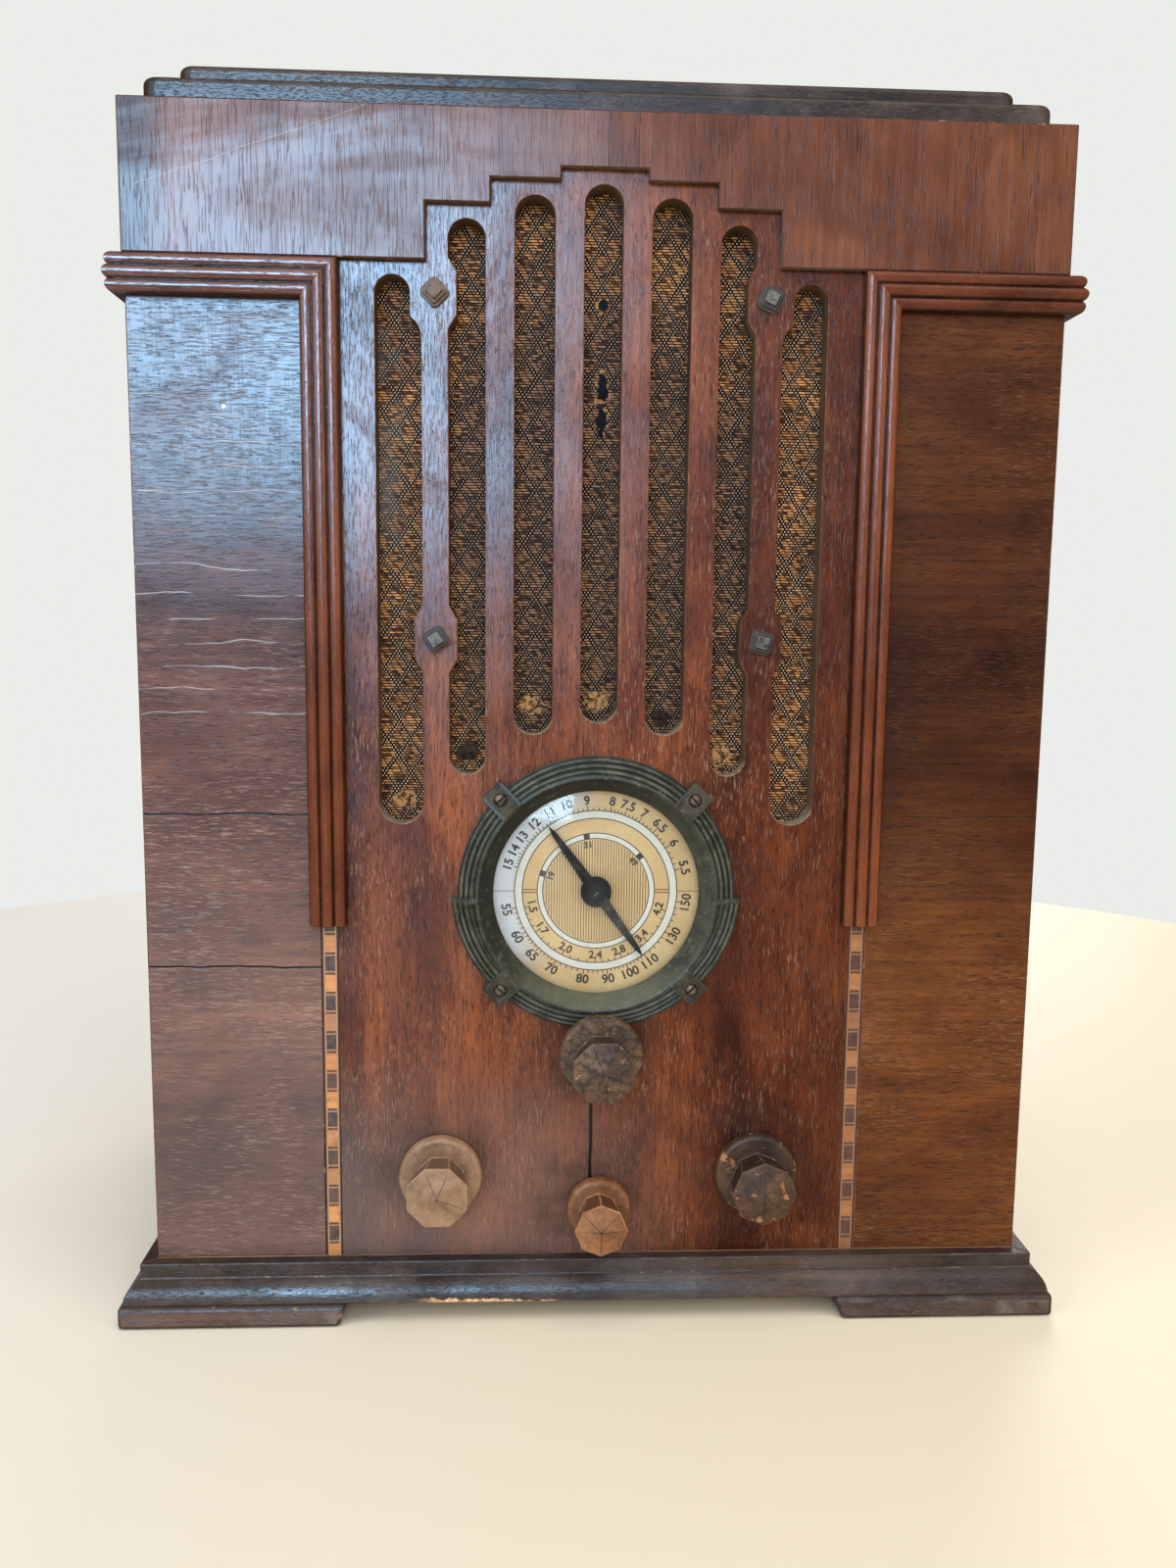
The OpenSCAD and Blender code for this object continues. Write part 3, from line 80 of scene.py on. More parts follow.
class Wire:
    """One output socket; arithmetic on it adds Math nodes."""

    def __init__(self, graph, socket):
        self.graph, self.socket = graph, socket

    __add__, __radd__ = maths("ADD"), maths("ADD", swapped=True)
    __sub__, __rsub__ = maths("SUBTRACT"), maths("SUBTRACT", swapped=True)
    __mul__, __rmul__ = maths("MULTIPLY"), maths("MULTIPLY", swapped=True)
    __truediv__, __rtruediv__ = maths("DIVIDE"), maths("DIVIDE", swapped=True)
    __pow__, __rpow__ = maths("POWER"), maths("POWER", swapped=True)
    __abs__ = maths("ABSOLUTE")
    sine, fract, floor, root = maths("SINE"), maths("FRACT"), maths("FLOOR"), maths("SQRT")
    least, most, angle = maths("MINIMUM"), maths("MAXIMUM"), maths("ARCTAN2")

    def other(self, name):
        """Another output of the same node."""
        return Wire(self.graph, self.socket.node.outputs[name])

    def step(self, low, high):
        """0 below low, 1 above high and a smooth climb between; high below low turns it round."""
        start, end = (0.0, 1.0) if high > low else (1.0, 0.0)
        return self.graph.add("ShaderNodeMapRange", {"interpolation_type": "SMOOTHSTEP"}, {
            "Value": self, "From Min": min(low, high), "From Max": max(low, high),
            "To Min": start, "To Max": end})


print("operators on a wire:", sum(name.startswith("__r") for name in vars(Wire)) * 2)

# %% [markdown]
# One method adds any other node, by its type. Settings go in before the sockets are filled, because a
# setting can change which sockets a node has. The same method will serve materials, the world's background
# and the trees that stamp small pieces.

# %% Trees
class Graph:
    """A node tree; add() makes any node: its type, its settings, then its sockets."""

    def __init__(self, tree):
        self.tree = tree

    def add(self, kind, settings=None, sockets=None, out=0):
        node = self.tree.nodes.new(kind)
        for key, value in (settings or {}).items():
            if key == "stops":
                ramp = node.color_ramp
                while len(ramp.elements) < len(value):
                    ramp.elements.new(0.5)
                for element, (place, colour) in zip(ramp.elements, value):
                    element.position = place
                    element.color = (*colour, 1.0)
            else:
                setattr(node, key, value)
        for key, value in (sockets or {}).items():
            socket = node.inputs[key]
            if isinstance(value, Wire):
                self.tree.links.new(value.socket, socket)
            elif socket.type == "RGBA" and len(value) == 3:
                socket.default_value = (*value, 1.0)
            else:
                socket.default_value = value
        return Wire(self, node.outputs[out] if node.outputs else None)


print("tree methods:", [name for name in vars(Graph) if not name.startswith("_")])

# %% [markdown]
# A finish is such a tree inside a material. It starts from the place of each point in the shared frame, so
# that a pattern can be laid out with the same measures as the solids. The helpers are what most finishes
# need: noise, a squeezed space, distances on the front, mixing, bumps and the final shader.

# %% Finishes
class Finish(Graph):
    """A material with the shader helpers that the finishes share."""

    def __init__(self, name):
        self.material = bpy.data.materials.new(name)
        self.material.use_nodes = True
        super().__init__(self.material.node_tree)
        self.tree.nodes.clear()
        self.place = self.add("ShaderNodeTexCoord", out="Object")
        split = self.add("ShaderNodeSeparateXYZ", sockets={"Vector": self.place})
        self.x, self.y, self.z = split, split.other("Y"), split.other("Z")

    def noise(self, scale, detail=3.0, rough=0.5, distort=0.0, vector=None):
        return self.add("ShaderNodeTexNoise", {}, {
            "Vector": vector or self.place, "Scale": scale, "Detail": detail, "Roughness": rough,
            "Distortion": distort})

    def stretched(self, scale, shift=0.0):
        """Space squeezed along each axis, and shifted so that two noises never look alike."""
        return self.add("ShaderNodeMapping", {}, {
            "Vector": self.place, "Scale": scale, "Location": (shift, 1.7 * shift, 0.6 * shift)})

    def around(self, x, z):
        """Steps across and up from a point of the front, and the distance to it."""
        across, up = self.x - x, self.z - z
        return across, up, (across * across + up * up).root()

    def climb(self, low, high):
        """A step between two heights of the front, in mm above the foot of its panel."""
        return self.z.step(panel_z + low * mm, panel_z + high * mm)

    def mix(self, factor, a, b, blend="MIX"):
        kind = {"data_type": "RGBA", "blend_type": blend}
        return self.add("ShaderNodeMix", kind, {0: factor, 6: a, 7: b}, 2)

    def ramp(self, value, stops):
        return self.add("ShaderNodeValToRGB", {"stops": stops}, {0: value})

    def bump(self, height, strength, distance):
        return self.add("ShaderNodeBump", {}, {"Height": height, "Strength": strength, "Distance": distance})

    def shader(self, kind, sockets):
        return self.add("ShaderNode" + kind, {}, sockets)

    def blend(self, share, first, second):
        return self.shader("MixShader", {0: share, 1: first, 2: second})

    def show(self, shader):
        self.shader("OutputMaterial", {"Surface": shader})
        return self.material

    def principled(self, colour, rough, normal=None, metallic=0.0, shine=0.5):
        sockets = {"Base Color": colour, "Roughness": rough, "Metallic": metallic,
                   "Specular IOR Level": shine}
        if normal:
            sockets["Normal"] = normal
        return self.shader("BsdfPrincipled", sockets)

    def done(self, *surface, **more):
        return self.show(self.principled(*surface, **more))


print("finish helpers:", [name for name in vars(Finish) if not name.startswith("_")])

# %% [markdown]
# ## Camera
# The view comes from the straight edges of the cabinet: they fix a camera 46 cm in front of the radio and a
# little above its middle, with a phone's wide lens. The three rows below are its right, down and forward
# axes.

# %% Set the camera
RIGHT = Vector((0.99887096, -0.0462386, 0.01089983))
DOWN = Vector((0.0050798, -0.12416638, -0.99224841))
AHEAD = Vector((0.04723357, 0.99118349, -0.12379131))
SENSOR, FOCAL_PIXELS, FRAME_PIXELS = 36.0, 1241.8, 1600


def link(made):
    """Put an object into the scene."""
    bpy.context.scene.collection.objects.link(made)
    return made


lens = bpy.data.cameras.new("front_view")
lens.sensor_fit = "VERTICAL"
lens.sensor_height = SENSOR
lens.lens = SENSOR * FOCAL_PIXELS / FRAME_PIXELS
camera = link(bpy.data.objects.new("front_view", lens))
eye = Vector((-25.73 * mm, front_y - 461.72 * mm, panel_z + 247.28 * mm))
camera.matrix_world = Matrix.Translation(eye) @ Matrix((RIGHT, -DOWN, -AHEAD)).transposed().to_4x4()
bpy.context.scene.camera = camera
print("camera at", [round(v, 3) for v in camera.location])

# %% [markdown]
# ## Table
# A round pale table carries the radio. Its colour is painted light: whiter on the left, where the cool
# daylight falls, and creamier on the right, where warmer light falls. It lies a hair below z = 0, so that it
# never fights with the feet for the same place.

# %% Lay the table
TABLE_RADIUS, TABLE_DROP = 0.8, 0.0002
f = Finish("pale_table")
# painted light: whiter under the cool daylight on the left, creamier under the warmer light on the right
warm_lit_side = (f.x + f.noise(40, 4) * 0.1).step(-0.40, 0.20)
pale_paint = f.mix(warm_lit_side, (0.87, 0.84, 0.77), (0.90, 0.81, 0.62))
table_paint = f.done(pale_paint, f.noise(90, 2) * 0.2 + 0.45)
bm = bmesh.new()
bmesh.ops.create_circle(bm, cap_ends=True, segments=96, radius=TABLE_RADIUS)
bmesh.ops.translate(bm, vec=(0, 0, -TABLE_DROP), verts=bm.verts)
mesh = bpy.data.meshes.new("table")
bm.to_mesh(mesh)
bm.free()
mesh.materials.append(table_paint)
table = link(bpy.data.objects.new("table", mesh))
print("table radius:", TABLE_RADIUS, "m")

# %% [markdown]
# ## Light
# A broad soft lamp above, weaker ones left and right, one behind for the open back and one in front that
# gives no mirror image. The cool window stands where the lacquer mirrors it towards the camera, so that the
# upper left of the front gets its sheen; it lights nothing else. The world is pale to look at, and only a
# weak fill as a light.

# %% Lamps and world
def lamp(place, aim, size, watts, colour, name):
    data = bpy.data.lights.new(name, "AREA")
    data.shape = "RECTANGLE"
    data.size, data.size_y = size
    data.energy, data.color = watts, colour
    made = link(bpy.data.objects.new(name, data))
    made.location = place
    made.rotation_euler = (Vector(aim) - Vector(place)).to_track_quat("-Z", "Y").to_euler()
    return made


lamps = {name: lamp(*facts, name) for name, facts in {
    "top_lamp": ((0.1, -0.8, 1.8), (0, 0, 0.2), (1.6, 1.2), 17, (1.0, 0.97, 0.92)),
    "right_lamp": ((1.5, -1.2, 0.8), (0, 0, 0.25), (0.9, 0.9), 6, (1.0, 0.90, 0.76)),
    "left_lamp": ((-1.5, -1.0, 0.9), (0, 0, 0.25), (0.9, 0.9), 11, (0.92, 0.96, 1.0)),
    "back_lamp": ((0.4, 1.7, 0.9), (0, 0, 0.2), (1.4, 1.2), 22, (1.0, 0.98, 0.95)),
    "front_lamp": ((0.1, -1.7, 0.75), (0, 0, 0.25), (1.2, 1.0), 10, (1.0, 0.97, 0.93)),
    "window": ((-0.45, -1.5, 0.80), (-0.1, front_y, 0.34), (0.66, 0.60), 60, (0.37, 0.67, 1.0)),
}.items()}
lamps["front_lamp"].visible_glossy = False
lamps["window"].visible_diffuse = False
world = bpy.data.worlds.new("room")
bpy.context.scene.world = world
world.use_nodes = True
room = Graph(world.node_tree)
world.node_tree.nodes.clear()
path = room.add("ShaderNodeLightPath")
seen = path.most(path.other("Is Transmission Ray"))
dimmed = 0.40 - path.other("Is Glossy Ray") * 0.32
pale = room.add("ShaderNodeBackground", {}, {"Color": (0.87, 0.89, 0.86), "Strength": 0.95})
fill = room.add("ShaderNodeBackground", {}, {"Color": (0.95, 0.97, 1.0), "Strength": dimmed})
sky = room.add("ShaderNodeMixShader", {}, {0: seen, 1: fill, 2: pale})
room.add("ShaderNodeOutputWorld", {}, {"Surface": sky})
bpy.context.scene.view_settings.view_transform = "Standard"
print("lamps:", len(lamps))

# %% [markdown]
# ## Wood
# All the boards share one recipe. Noise squeezed hard along one axis gives streaks that run with the grain;
# a broad one gives the figure, finer ones give streaks, open pores and the pale flecks where old lacquer
# has lifted. The noise is solid, so end grain and side grain meet at the edges, as they do in a board. Two
# shaders, a dull and a bright one, are blended by how much lacquer is left, because the strength of a shine
# itself can't be exported as a pattern.

# %% The wood recipe
BARE, DUSK, HAZE = (0.50, 0.30, 0.15), (0.28, 0.20, 0.13), (0.30, 0.25, 0.22)
DULL, BRIGHT, SOME_LACQUER = 0.08, 0.9, 0.25


def shade(colour, factor):
    return tuple(c * factor for c in colour)


def wood(name, grain, tones, seed, stretch, pores, flecks, wear=0.0, gloss=0.36, haze=0.06, relief=0.5,
         marks=None, lacquer=None, dusk=None, bare=BARE, pore_scale=2600, fleck_paint=BARE,
         fleck_cover=0.42):
    """tones: dark, middle, light. marks, lacquer and dusk are functions that draw masks on the finish."""
    f = Finish(name)
    dark, middle, light = tones

    def along(share, shift=0):
        return f.stretched([share if axis == grain else 1.0 for axis in "xyz"], seed + shift)

    def even(shift):
        return f.stretched((1, 1, 1), seed + shift)

    lengthwise = along(stretch)
    figure = f.noise(16, 5, 0.62, 1.1, lengthwise)
    broad = f.noise(11, 4, 0.6, 0.8, along(0.55, 3))
    mottle = f.noise(42, 3, 0.55, 1.4, along(0.5, 4))
    streak = f.noise(420, 4, 0.62, 0.2, lengthwise)
    pore = f.noise(pore_scale, 2, 0.5, 0.0, along(stretch * 3, 7)).step(0.55, 0.66)
    patch = f.noise(26, 3, 0.6, 0.0, even(9)).step(0.30, 0.70)
    fleck = f.noise(2300, 2, 0.5, 0.3, along(stretch * 3, 5)).step(0.57, 0.67) * patch * flecks
    dusty = f.noise(30, 4, 0.65, 0.0, even(13)).step(0.48, 0.75)
    tone = figure * 0.30 + broad * 0.48 + mottle * 0.22
    colour = f.ramp(tone, [(0.39, dark), (0.5, middle), (0.61, light)])
    colour = f.mix(streak.step(0.36, 0.64) * 0.38, colour, shade(dark, 0.9))
    colour = f.mix(pore * pores * 0.8, colour, shade(dark, 0.3))
    colour = f.mix(dusty * haze * 0.35, colour, HAZE)
    colour = f.mix(fleck * fleck_cover, colour, fleck_paint)
    height = streak * 0.35 - pore * pores * 0.6 + fleck * 0.5
    rough = broad * 0.14 + gloss + fleck * 0.15 + dusty * haze * 0.18
    if wear:
        rubbed = f.noise(160, 5, 0.7, 0.0, even(21)).step(0.66 - 0.3 * wear, 0.74 - 0.3 * wear)
        colour = f.mix(rubbed * 0.7, colour, bare)
        rough = rough + rubbed * 0.2
    # The dusk mask multiplies in a darker tone; on the right of the front this is painted shade.
    if dusk:
        colour = f.mix(dusk(f), colour, DUSK, "MULTIPLY")
    for mask, paint, depth in (marks(f) if marks else []):
        colour = f.mix(mask, colour, paint)
        height = height - mask * depth
    normal = f.bump(height, relief, 0.0006)
    dull, bright = (f.principled(colour, rough, normal, shine=shine) for shine in (DULL, BRIGHT))
    return f.show(f.blend(lacquer(f) if lacquer else SOME_LACQUER, dull, bright))


print("lacquer left on a plain board:", SOME_LACQUER)

# %% [markdown]
# ## Age on the wood
# The lacquer of the front is whole on the upper left, patchy below and thin on the right. Cracks are dark
# lines that wander a little, stains and specks are the cells of a Voronoi pattern of which only some are
# chosen. Each of these is a mask, from 0 to 1; a board's marks are a list of masks, each with its paint and
# its depth.

# %% Lacquer, cracks and spots
def left_gloss(share, patchy, start=190, least=0.25, smear=(1, 1, 1), rest=0.04):
    """Lacquer that lasted on the left: all of share high up, the least of it below start, rest everywhere."""
    def cover(f):
        patches = f.noise(17, 5, 0.66, 0.8, f.stretched(smear)).step(0.34, 0.58) * patchy + (1 - patchy)
        upper = f.climb(start, 330) * (1 - least) + least
        return f.x.step(0.05, -0.07) * patches * upper * share + rest
    return cover


def line_mark(f, across, along, place, low, high, width, wobble=0.0012):
    """A crack: dark where across is close to a slightly wandering line, for along from low to high."""
    drift = (f.noise(55, 2) - 0.5) * (2 * wobble)
    near = abs(across - place - drift).step(width, width * 0.45)
    return near * along.step(low - 0.003, low) * along.step(high + 0.003, high)


def spot_mark(f, scale, size, share):
    """Small round stains, on about that share of the cells."""
    cell = f.add("ShaderNodeTexVoronoi", {}, {"Vector": f.place, "Scale": scale}, "Distance")
    chosen = f.add("ShaderNodeSeparateColor", {}, {0: cell.other("Color")})
    return cell.step(size, size * 0.6) * chosen.step(1 - share, 1.02 - share)


print("marks:", left_gloss.__name__, line_mark.__name__, spot_mark.__name__)

# %% [markdown]
# The centre panel has one deep split below the tuning knob. Dark halos round the knobs are part finger
# grime and part painted shadow, and grey dust lies on the round lower ends of the sound slots. The panel is
# darker on the right, at the top left and along the base: there the colour is multiplied with a dusky tone.
# On the right this is painted shade, where less light falls.

# %% Marks of the centre panel
RED_DARK, RED_MID, RED_LIGHT = (0.042, 0.008, 0.003), (0.155, 0.036, 0.009), (0.310, 0.088, 0.022)
RED = (RED_DARK, RED_MID, RED_LIGHT)
CRACK, DUST = (0.004, 0.003, 0.002), (0.33, 0.29, 0.20)
SLOTS = ((0, 14, 213), (25, 14.6, 208.5), (49.7, 13.4, 193), (74.7, 16.6, 174))


# Dark halos round the knobs, centred a little up and to the left: part finger grime, part painted shadow.
def finger_grime(f):
    halos = []
    for joint in ("volume_turn", "tone_turn", "tuning_turn", "band_turn"):
        across, up = f.x - joint_at[joint].x + 3 * mm, f.z - joint_at[joint].z - 5 * mm
        halos.append((across * across + up * up).root().step(31 * mm, 17 * mm))
    return reduce(Wire.most, halos) * (f.noise(40, 4, 0.65).step(0.30, 0.62) * 0.62)


def slot_dust(f):
    """SLOTS holds each slot's place, width and lower end, in mm; both sides are alike."""
    ends = []
    for x, wide, low in SLOTS:
        within = abs(abs(f.x) - x * mm).step((wide / 2 + 1.4) * mm, (wide / 2 + 0.6) * mm)
        ends.append(within * f.climb(low + wide * 0.5, low + wide * 0.2) * f.climb(low - 2.4, low - 1.4))
    return reduce(Wire.most, ends) * (f.noise(500, 4, 0.7).step(0.30, 0.62) * 0.8)


def dust_marks(f):
    return [(slot_dust(f), DUST, 0.0)]


def centre_marks(f):
    split = line_mark(f, f.x, f.z, -1.2 * mm, panel_z + 22 * mm, panel_z + 64 * mm, 0.9 * mm, 0.0005)
    hairline = line_mark(f, f.x, f.z, -6 * mm, panel_z + 188 * mm, panel_z + 206 * mm, 0.25 * mm)
    stain = f.noise(12, 3, 0.6).step(0.56, 0.74) * 0.5
    # Greyer towards the lower left: dust and a painted reflection of the pale table.
    dusty = f.climb(95, 20) * f.x.step(0.05, -0.02) * 0.26
    inner_dust = slot_dust(f) * f.y.step(front_y + 0.3 * mm, front_y + 0.8 * mm)
    return [(inner_dust, DUST, 0.0), (stain, shade(RED_DARK, 0.8), 0.0), (dusty, (0.36, 0.27, 0.24), 0.0),
            (finger_grime(f), (0.030, 0.016, 0.012), 0.0),
            (spot_mark(f, 26, 0.035, 0.25), (0.62, 0.55, 0.46), 0.0),
            (hairline, CRACK, 0.6), (split, CRACK, 2.0)]


# Painted shade on the right, where less light falls; also darker at the top left and along the base.
def centre_dusk(f):
    right = f.x.step(0.045, 0.10) * 0.55
    upper = f.climb(230, 330) * f.x.step(0.01, -0.05) * 0.6
    return right.most(upper).most(f.climb(18, 1) * 0.55)


centre_veneer = wood("centre_veneer", "z", RED, 1.0, 0.035, 0.8, 1.0, gloss=0.33, relief=0.38,
                     pore_scale=2000, marks=centre_marks, lacquer=left_gloss(1.0, 0.62), dusk=centre_dusk,
                     fleck_paint=(0.50, 0.32, 0.21))
print("centre panel: dust in", 2 * len(SLOTS) - 1, "slots")

# %% [markdown]
# The header is two sheets of veneer, joined in the middle: greyer on the left, with stains, a long scratch
# and a dark corner. Its grain stands upright.

# %% Marks of the header
HEADER = ((0.068, 0.019, 0.008), (0.154, 0.049, 0.021), (0.255, 0.093, 0.040))
JOINT_X = 1.3 * mm


def header_marks(f):
    joint = line_mark(f, f.x, f.z, JOINT_X, 0, 1, 0.16 * mm, 0.0)
    left = f.x.step(0.003, -0.001)
    stains = spot_mark(f, 34, 0.16, 0.12) * left
    scratch = line_mark(f, f.z - f.x * 0.36, f.x, panel_z + 462 * mm, -0.165, -0.03, 0.35 * mm, 0.002)
    corner = f.x.step(-0.150, -0.168) * 0.75
    return [(left * 0.35, (0.16, 0.10, 0.085), 0.0), (corner, (0.030, 0.017, 0.014), 0.0),
            (stains * 0.8, (0.05, 0.03, 0.02), 0.0), (scratch * 0.25, (0.45, 0.36, 0.28), 0.2),
            (joint, CRACK, 0.5)]


header_veneer = wood("header_veneer", "z", HEADER, 2.0, 0.014, 0.7, 0.15, gloss=0.30, relief=0.32,
                     pore_scale=2000, marks=header_marks,
                     lacquer=left_gloss(0.37, 0.92, smear=(0.35, 1, 1.3)))
print("header joint at x =", round(JOINT_X, 5))

# %% [markdown]
# The stiles have their grain across. The left one has two cracks right through, long wavy edges where the
# veneer has lifted above its middle, raised and painted pale bluish as a painted highlight, and worn cross
# hatching near the top. The right one is darker, with painted shade over its upper part, and almost whole.

# %% Marks of the stiles
LEFT = ((0.060, 0.024, 0.017), (0.155, 0.068, 0.048), (0.29, 0.128, 0.086))
RIGHT_SIDE = ((0.058, 0.015, 0.003), (0.145, 0.045, 0.010), (0.225, 0.078, 0.018))
SPECK = (0.75, 0.68, 0.58)
UPPER_CRACK, LOWER_CRACK, LIFT_GAP = 177.4 * mm, 117.9 * mm, 9.0


# The lifted edges are raised by the bump and painted pale bluish: a painted highlight along them.
def lifted_veneer(f):
    drift = (f.noise(40, 3, 0.6, 0.0, f.stretched((0.6, 1, 1), 2.0)) - 0.5) * (9 * mm)
    near = abs(((f.z + drift) * (1000 / LIFT_GAP)).fract() - 0.5).step(0.032, 0.012)
    broken = f.noise(30, 4, 0.6, 0.0, f.stretched((1, 1, 2.5), 6.0)).step(0.46, 0.56)
    return near * broken * f.climb(190, 225) * 0.75


def left_stile_marks(f):
    upper = line_mark(f, f.z, f.x, panel_z + UPPER_CRACK, -1, 1, 0.5 * mm)
    lower = line_mark(f, f.z, f.x, panel_z + LOWER_CRACK, -1, 1, 0.55 * mm)
    stains = spot_mark(f, 44, 0.17, 0.2) * f.climb(290, 340)
    hatch = f.noise(1500, 2, 0.5, 0.0, f.stretched((1, 1, 0.02), 4.0)).step(0.50, 0.58)
    hatch = hatch * f.climb(275, 310) * f.noise(28, 3, 0.6).step(0.38, 0.60)
    # The first mark greys the lower stile: dust and a painted reflection of the pale table.
    return [(f.climb(200, 110) * 0.17, (0.36, 0.29, 0.27), 0.0), (hatch * 0.3, (0.06, 0.03, 0.02), 0.5),
            (lifted_veneer(f), (0.42, 0.44, 0.50), -1.2), (stains * 0.8, (0.03, 0.018, 0.014), 0.0),
            (spot_mark(f, 30, 0.03, 0.2), SPECK, 0.0), (upper, CRACK, 1.5), (lower, CRACK, 1.5)]


def right_stile_marks(f):
    crack = line_mark(f, f.z, f.x, panel_z + UPPER_CRACK, 0.12, 1, 0.25 * mm)
    return [(spot_mark(f, 30, 0.03, 0.15), SPECK, 0.0), (crack * 0.7, CRACK, 0.6)]


# Darker towards the top of the left stile.
def left_dusk(f):
    return f.climb(190, 320) * 0.75


# Painted shade over the middle and top of the right stile, where less light falls.
def right_dusk(f):
    return f.climb(95, 200) * (0.82 - f.z.step(0.27, 0.36) * 0.34)


left_veneer = wood("left_stile_veneer", "x", LEFT, 3.0, 0.03, 0.7, 1.0, gloss=0.31, relief=0.3,
                   pore_scale=2000, marks=left_stile_marks, lacquer=left_gloss(0.74, 0.5, 235, 0.08),
                   dusk=left_dusk, fleck_paint=(0.60, 0.43, 0.34), fleck_cover=0.34)
right_veneer = wood("right_stile_veneer", "x", RIGHT_SIDE, 4.0, 0.035, 0.7, 0.55, gloss=0.34, pore_scale=2000,
                    marks=right_stile_marks, lacquer=left_gloss(0.6, 0.5), dusk=right_dusk)
print("stile cracks at", [round(panel_z + crack, 4) for crack in (UPPER_CRACK, LOWER_CRACK)])

# %% [markdown]
# The reeded mouldings are three beads side by side, glossy red brown, darkened in the two grooves and along
# both edges by black dirt and painted shade. The grooves are found from the distance to the moulding's
# middle line. The sides, the top and the bare wood inside have no marks of their own.

# %% Reeded mouldings, sides and bare wood
REED_HALF, GROOVE, GROOVE_DARK = 7 * mm, 2.4 * mm, (0.014, 0.006, 0.003)
REEDS = ((0.070, 0.016, 0.006), (0.155, 0.040, 0.014), (0.24, 0.066, 0.022))
SIDE = (shade(RED_MID, 0.5), shade(RED_MID, 0.95), shade(RED_LIGHT, 0.72))
INSIDE = ((0.22, 0.13, 0.065), (0.36, 0.23, 0.12), (0.47, 0.32, 0.18))
BOTTOM = ((0.20, 0.12, 0.06), (0.33, 0.21, 0.11), (0.43, 0.29, 0.16))
post_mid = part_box("post_mouldings")[1].x - REED_HALF
cap_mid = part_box("cap_mouldings")[1].z - REED_HALF


# Dark grooves and edges: black dirt and painted shade.
def reed_grime(f, away):
    groove = abs(away - GROOVE).step(1.0 * mm, 0.3 * mm)
    groove = groove.most(away.step(REED_HALF - 0.9 * mm, REED_HALF - 0.2 * mm))
    return [(groove * (f.noise(120, 3, 0.6).step(0.2, 0.6) * 0.35 + 0.5), GROOVE_DARK, 0.0)]


def post_grime(f):
    return reed_grime(f, abs(abs(f.x) - post_mid))


def cap_grime(f):
    return reed_grime(f, abs(f.z - cap_mid))


reed_lacquer = wood("reed_lacquer", "z", REEDS, 7.0, 0.04, 0.4, 0.15, gloss=0.20, haze=0.1, marks=post_grime,
                    lacquer=left_gloss(0.32, 0.3, rest=0.12))
cap_lacquer = wood("cap_lacquer", "x", REEDS, 8.0, 0.04, 0.4, 0.15, gloss=0.20, haze=0.1, marks=cap_grime,
                   lacquer=left_gloss(0.46, 0.3, rest=0.14))
return_lacquer = wood("return_lacquer", "y", REEDS, 8.5, 0.04, 0.4, 0.15, gloss=0.22, haze=0.1,
                      marks=cap_grime)
side_veneer = wood("side_veneer", "z", SIDE, 5.0, 0.03, 0.7, 0.35)
top_veneer = wood("top_veneer", "x", RED, 6.0, 0.05, 0.6, 0.2)
plain_wood = wood("plain_inner_wood", "z", INSIDE, 9.0, 0.05, 0.5, 0.2, gloss=0.62, haze=0.5)
board_wood = wood("bottom_board_wood", "x", BOTTOM, 9.5, 0.05, 0.5, 0.2, gloss=0.62, haze=0.6)
print("reeds: middle of the posts at x =", round(post_mid, 4), "and of the caps at z =", round(cap_mid, 4))

# %% [markdown]
# Top steps, base and feet were stained nearly black. The lacquer on the base is bright where it is whole
# and dull where it is rubbed, and a thin splinter has gone from the lower front edge, so fresh wood shows
# there. The edges of every board get a worn version of its finish, and the walls of the slots an olive
# brown one. The header's edges get darker tones: painted shade on its stepped edges.

# %% Dark lacquer and worn edges
BLACK_BROWN = ((0.020, 0.012, 0.009), (0.050, 0.029, 0.020), (0.094, 0.054, 0.036))
OLIVE = ((0.050, 0.024, 0.010), (0.115, 0.062, 0.028), (0.17, 0.10, 0.048))
HEADER_EDGE_SHADE = ((0.045, 0.016, 0.009), (0.085, 0.030, 0.016), (0.13, 0.048, 0.026))


def patchy_shine(f):
    return f.noise(45, 4, 0.65, 0.0, f.stretched((0.5, 0.5, 1))).step(0.36, 0.60) * 0.32 + 0.10


def base_chip(f):
    ragged = (f.noise(170, 4, 0.7) - 0.5) * (6 * mm)
    along = f.x.step(-0.072, -0.058) * f.x.step(-0.004, -0.020)
    edge = (f.z + ragged - panel_z + (f.x + 0.066) * 0.03).step(-12.4 * mm, -13.0 * mm)
    chip = along * edge * f.y.step(front_y - 8 * mm, front_y - 9 * mm)
    fresh = f.mix(f.noise(500, 3).step(0.35, 0.65), (0.42, 0.22, 0.10), (0.78, 0.52, 0.30))
    return [(chip, fresh, 0.8)]


dark_lacquer = wood("dark_lacquer", "x", BLACK_BROWN, 11.0, 0.05, 0.5, 0.3, gloss=0.28, haze=0.6)
dark_side = wood("dark_side_lacquer", "y", BLACK_BROWN, 12.0, 0.05, 0.5, 0.3, gloss=0.30, haze=0.8,
                 lacquer=patchy_shine)
foot_lacquer = wood("foot_lacquer", "x", [shade(t, 1.9) for t in BLACK_BROWN], 14.0, 0.05, 0.5, 0.4,
                    gloss=0.32, haze=1.8, lacquer=patchy_shine)
base_lacquer = wood("base_front_lacquer", "x", BLACK_BROWN, 13.0, 0.05, 0.5, 0.3, gloss=0.25, haze=0.5,
                    marks=base_chip, lacquer=patchy_shine)
worn_dark = wood("worn_dark_edge", "x", BLACK_BROWN, 11.0, 0.05, 0.5, 0.3, wear=0.22, haze=0.9,
                 bare=(0.34, 0.21, 0.12), marks=base_chip)
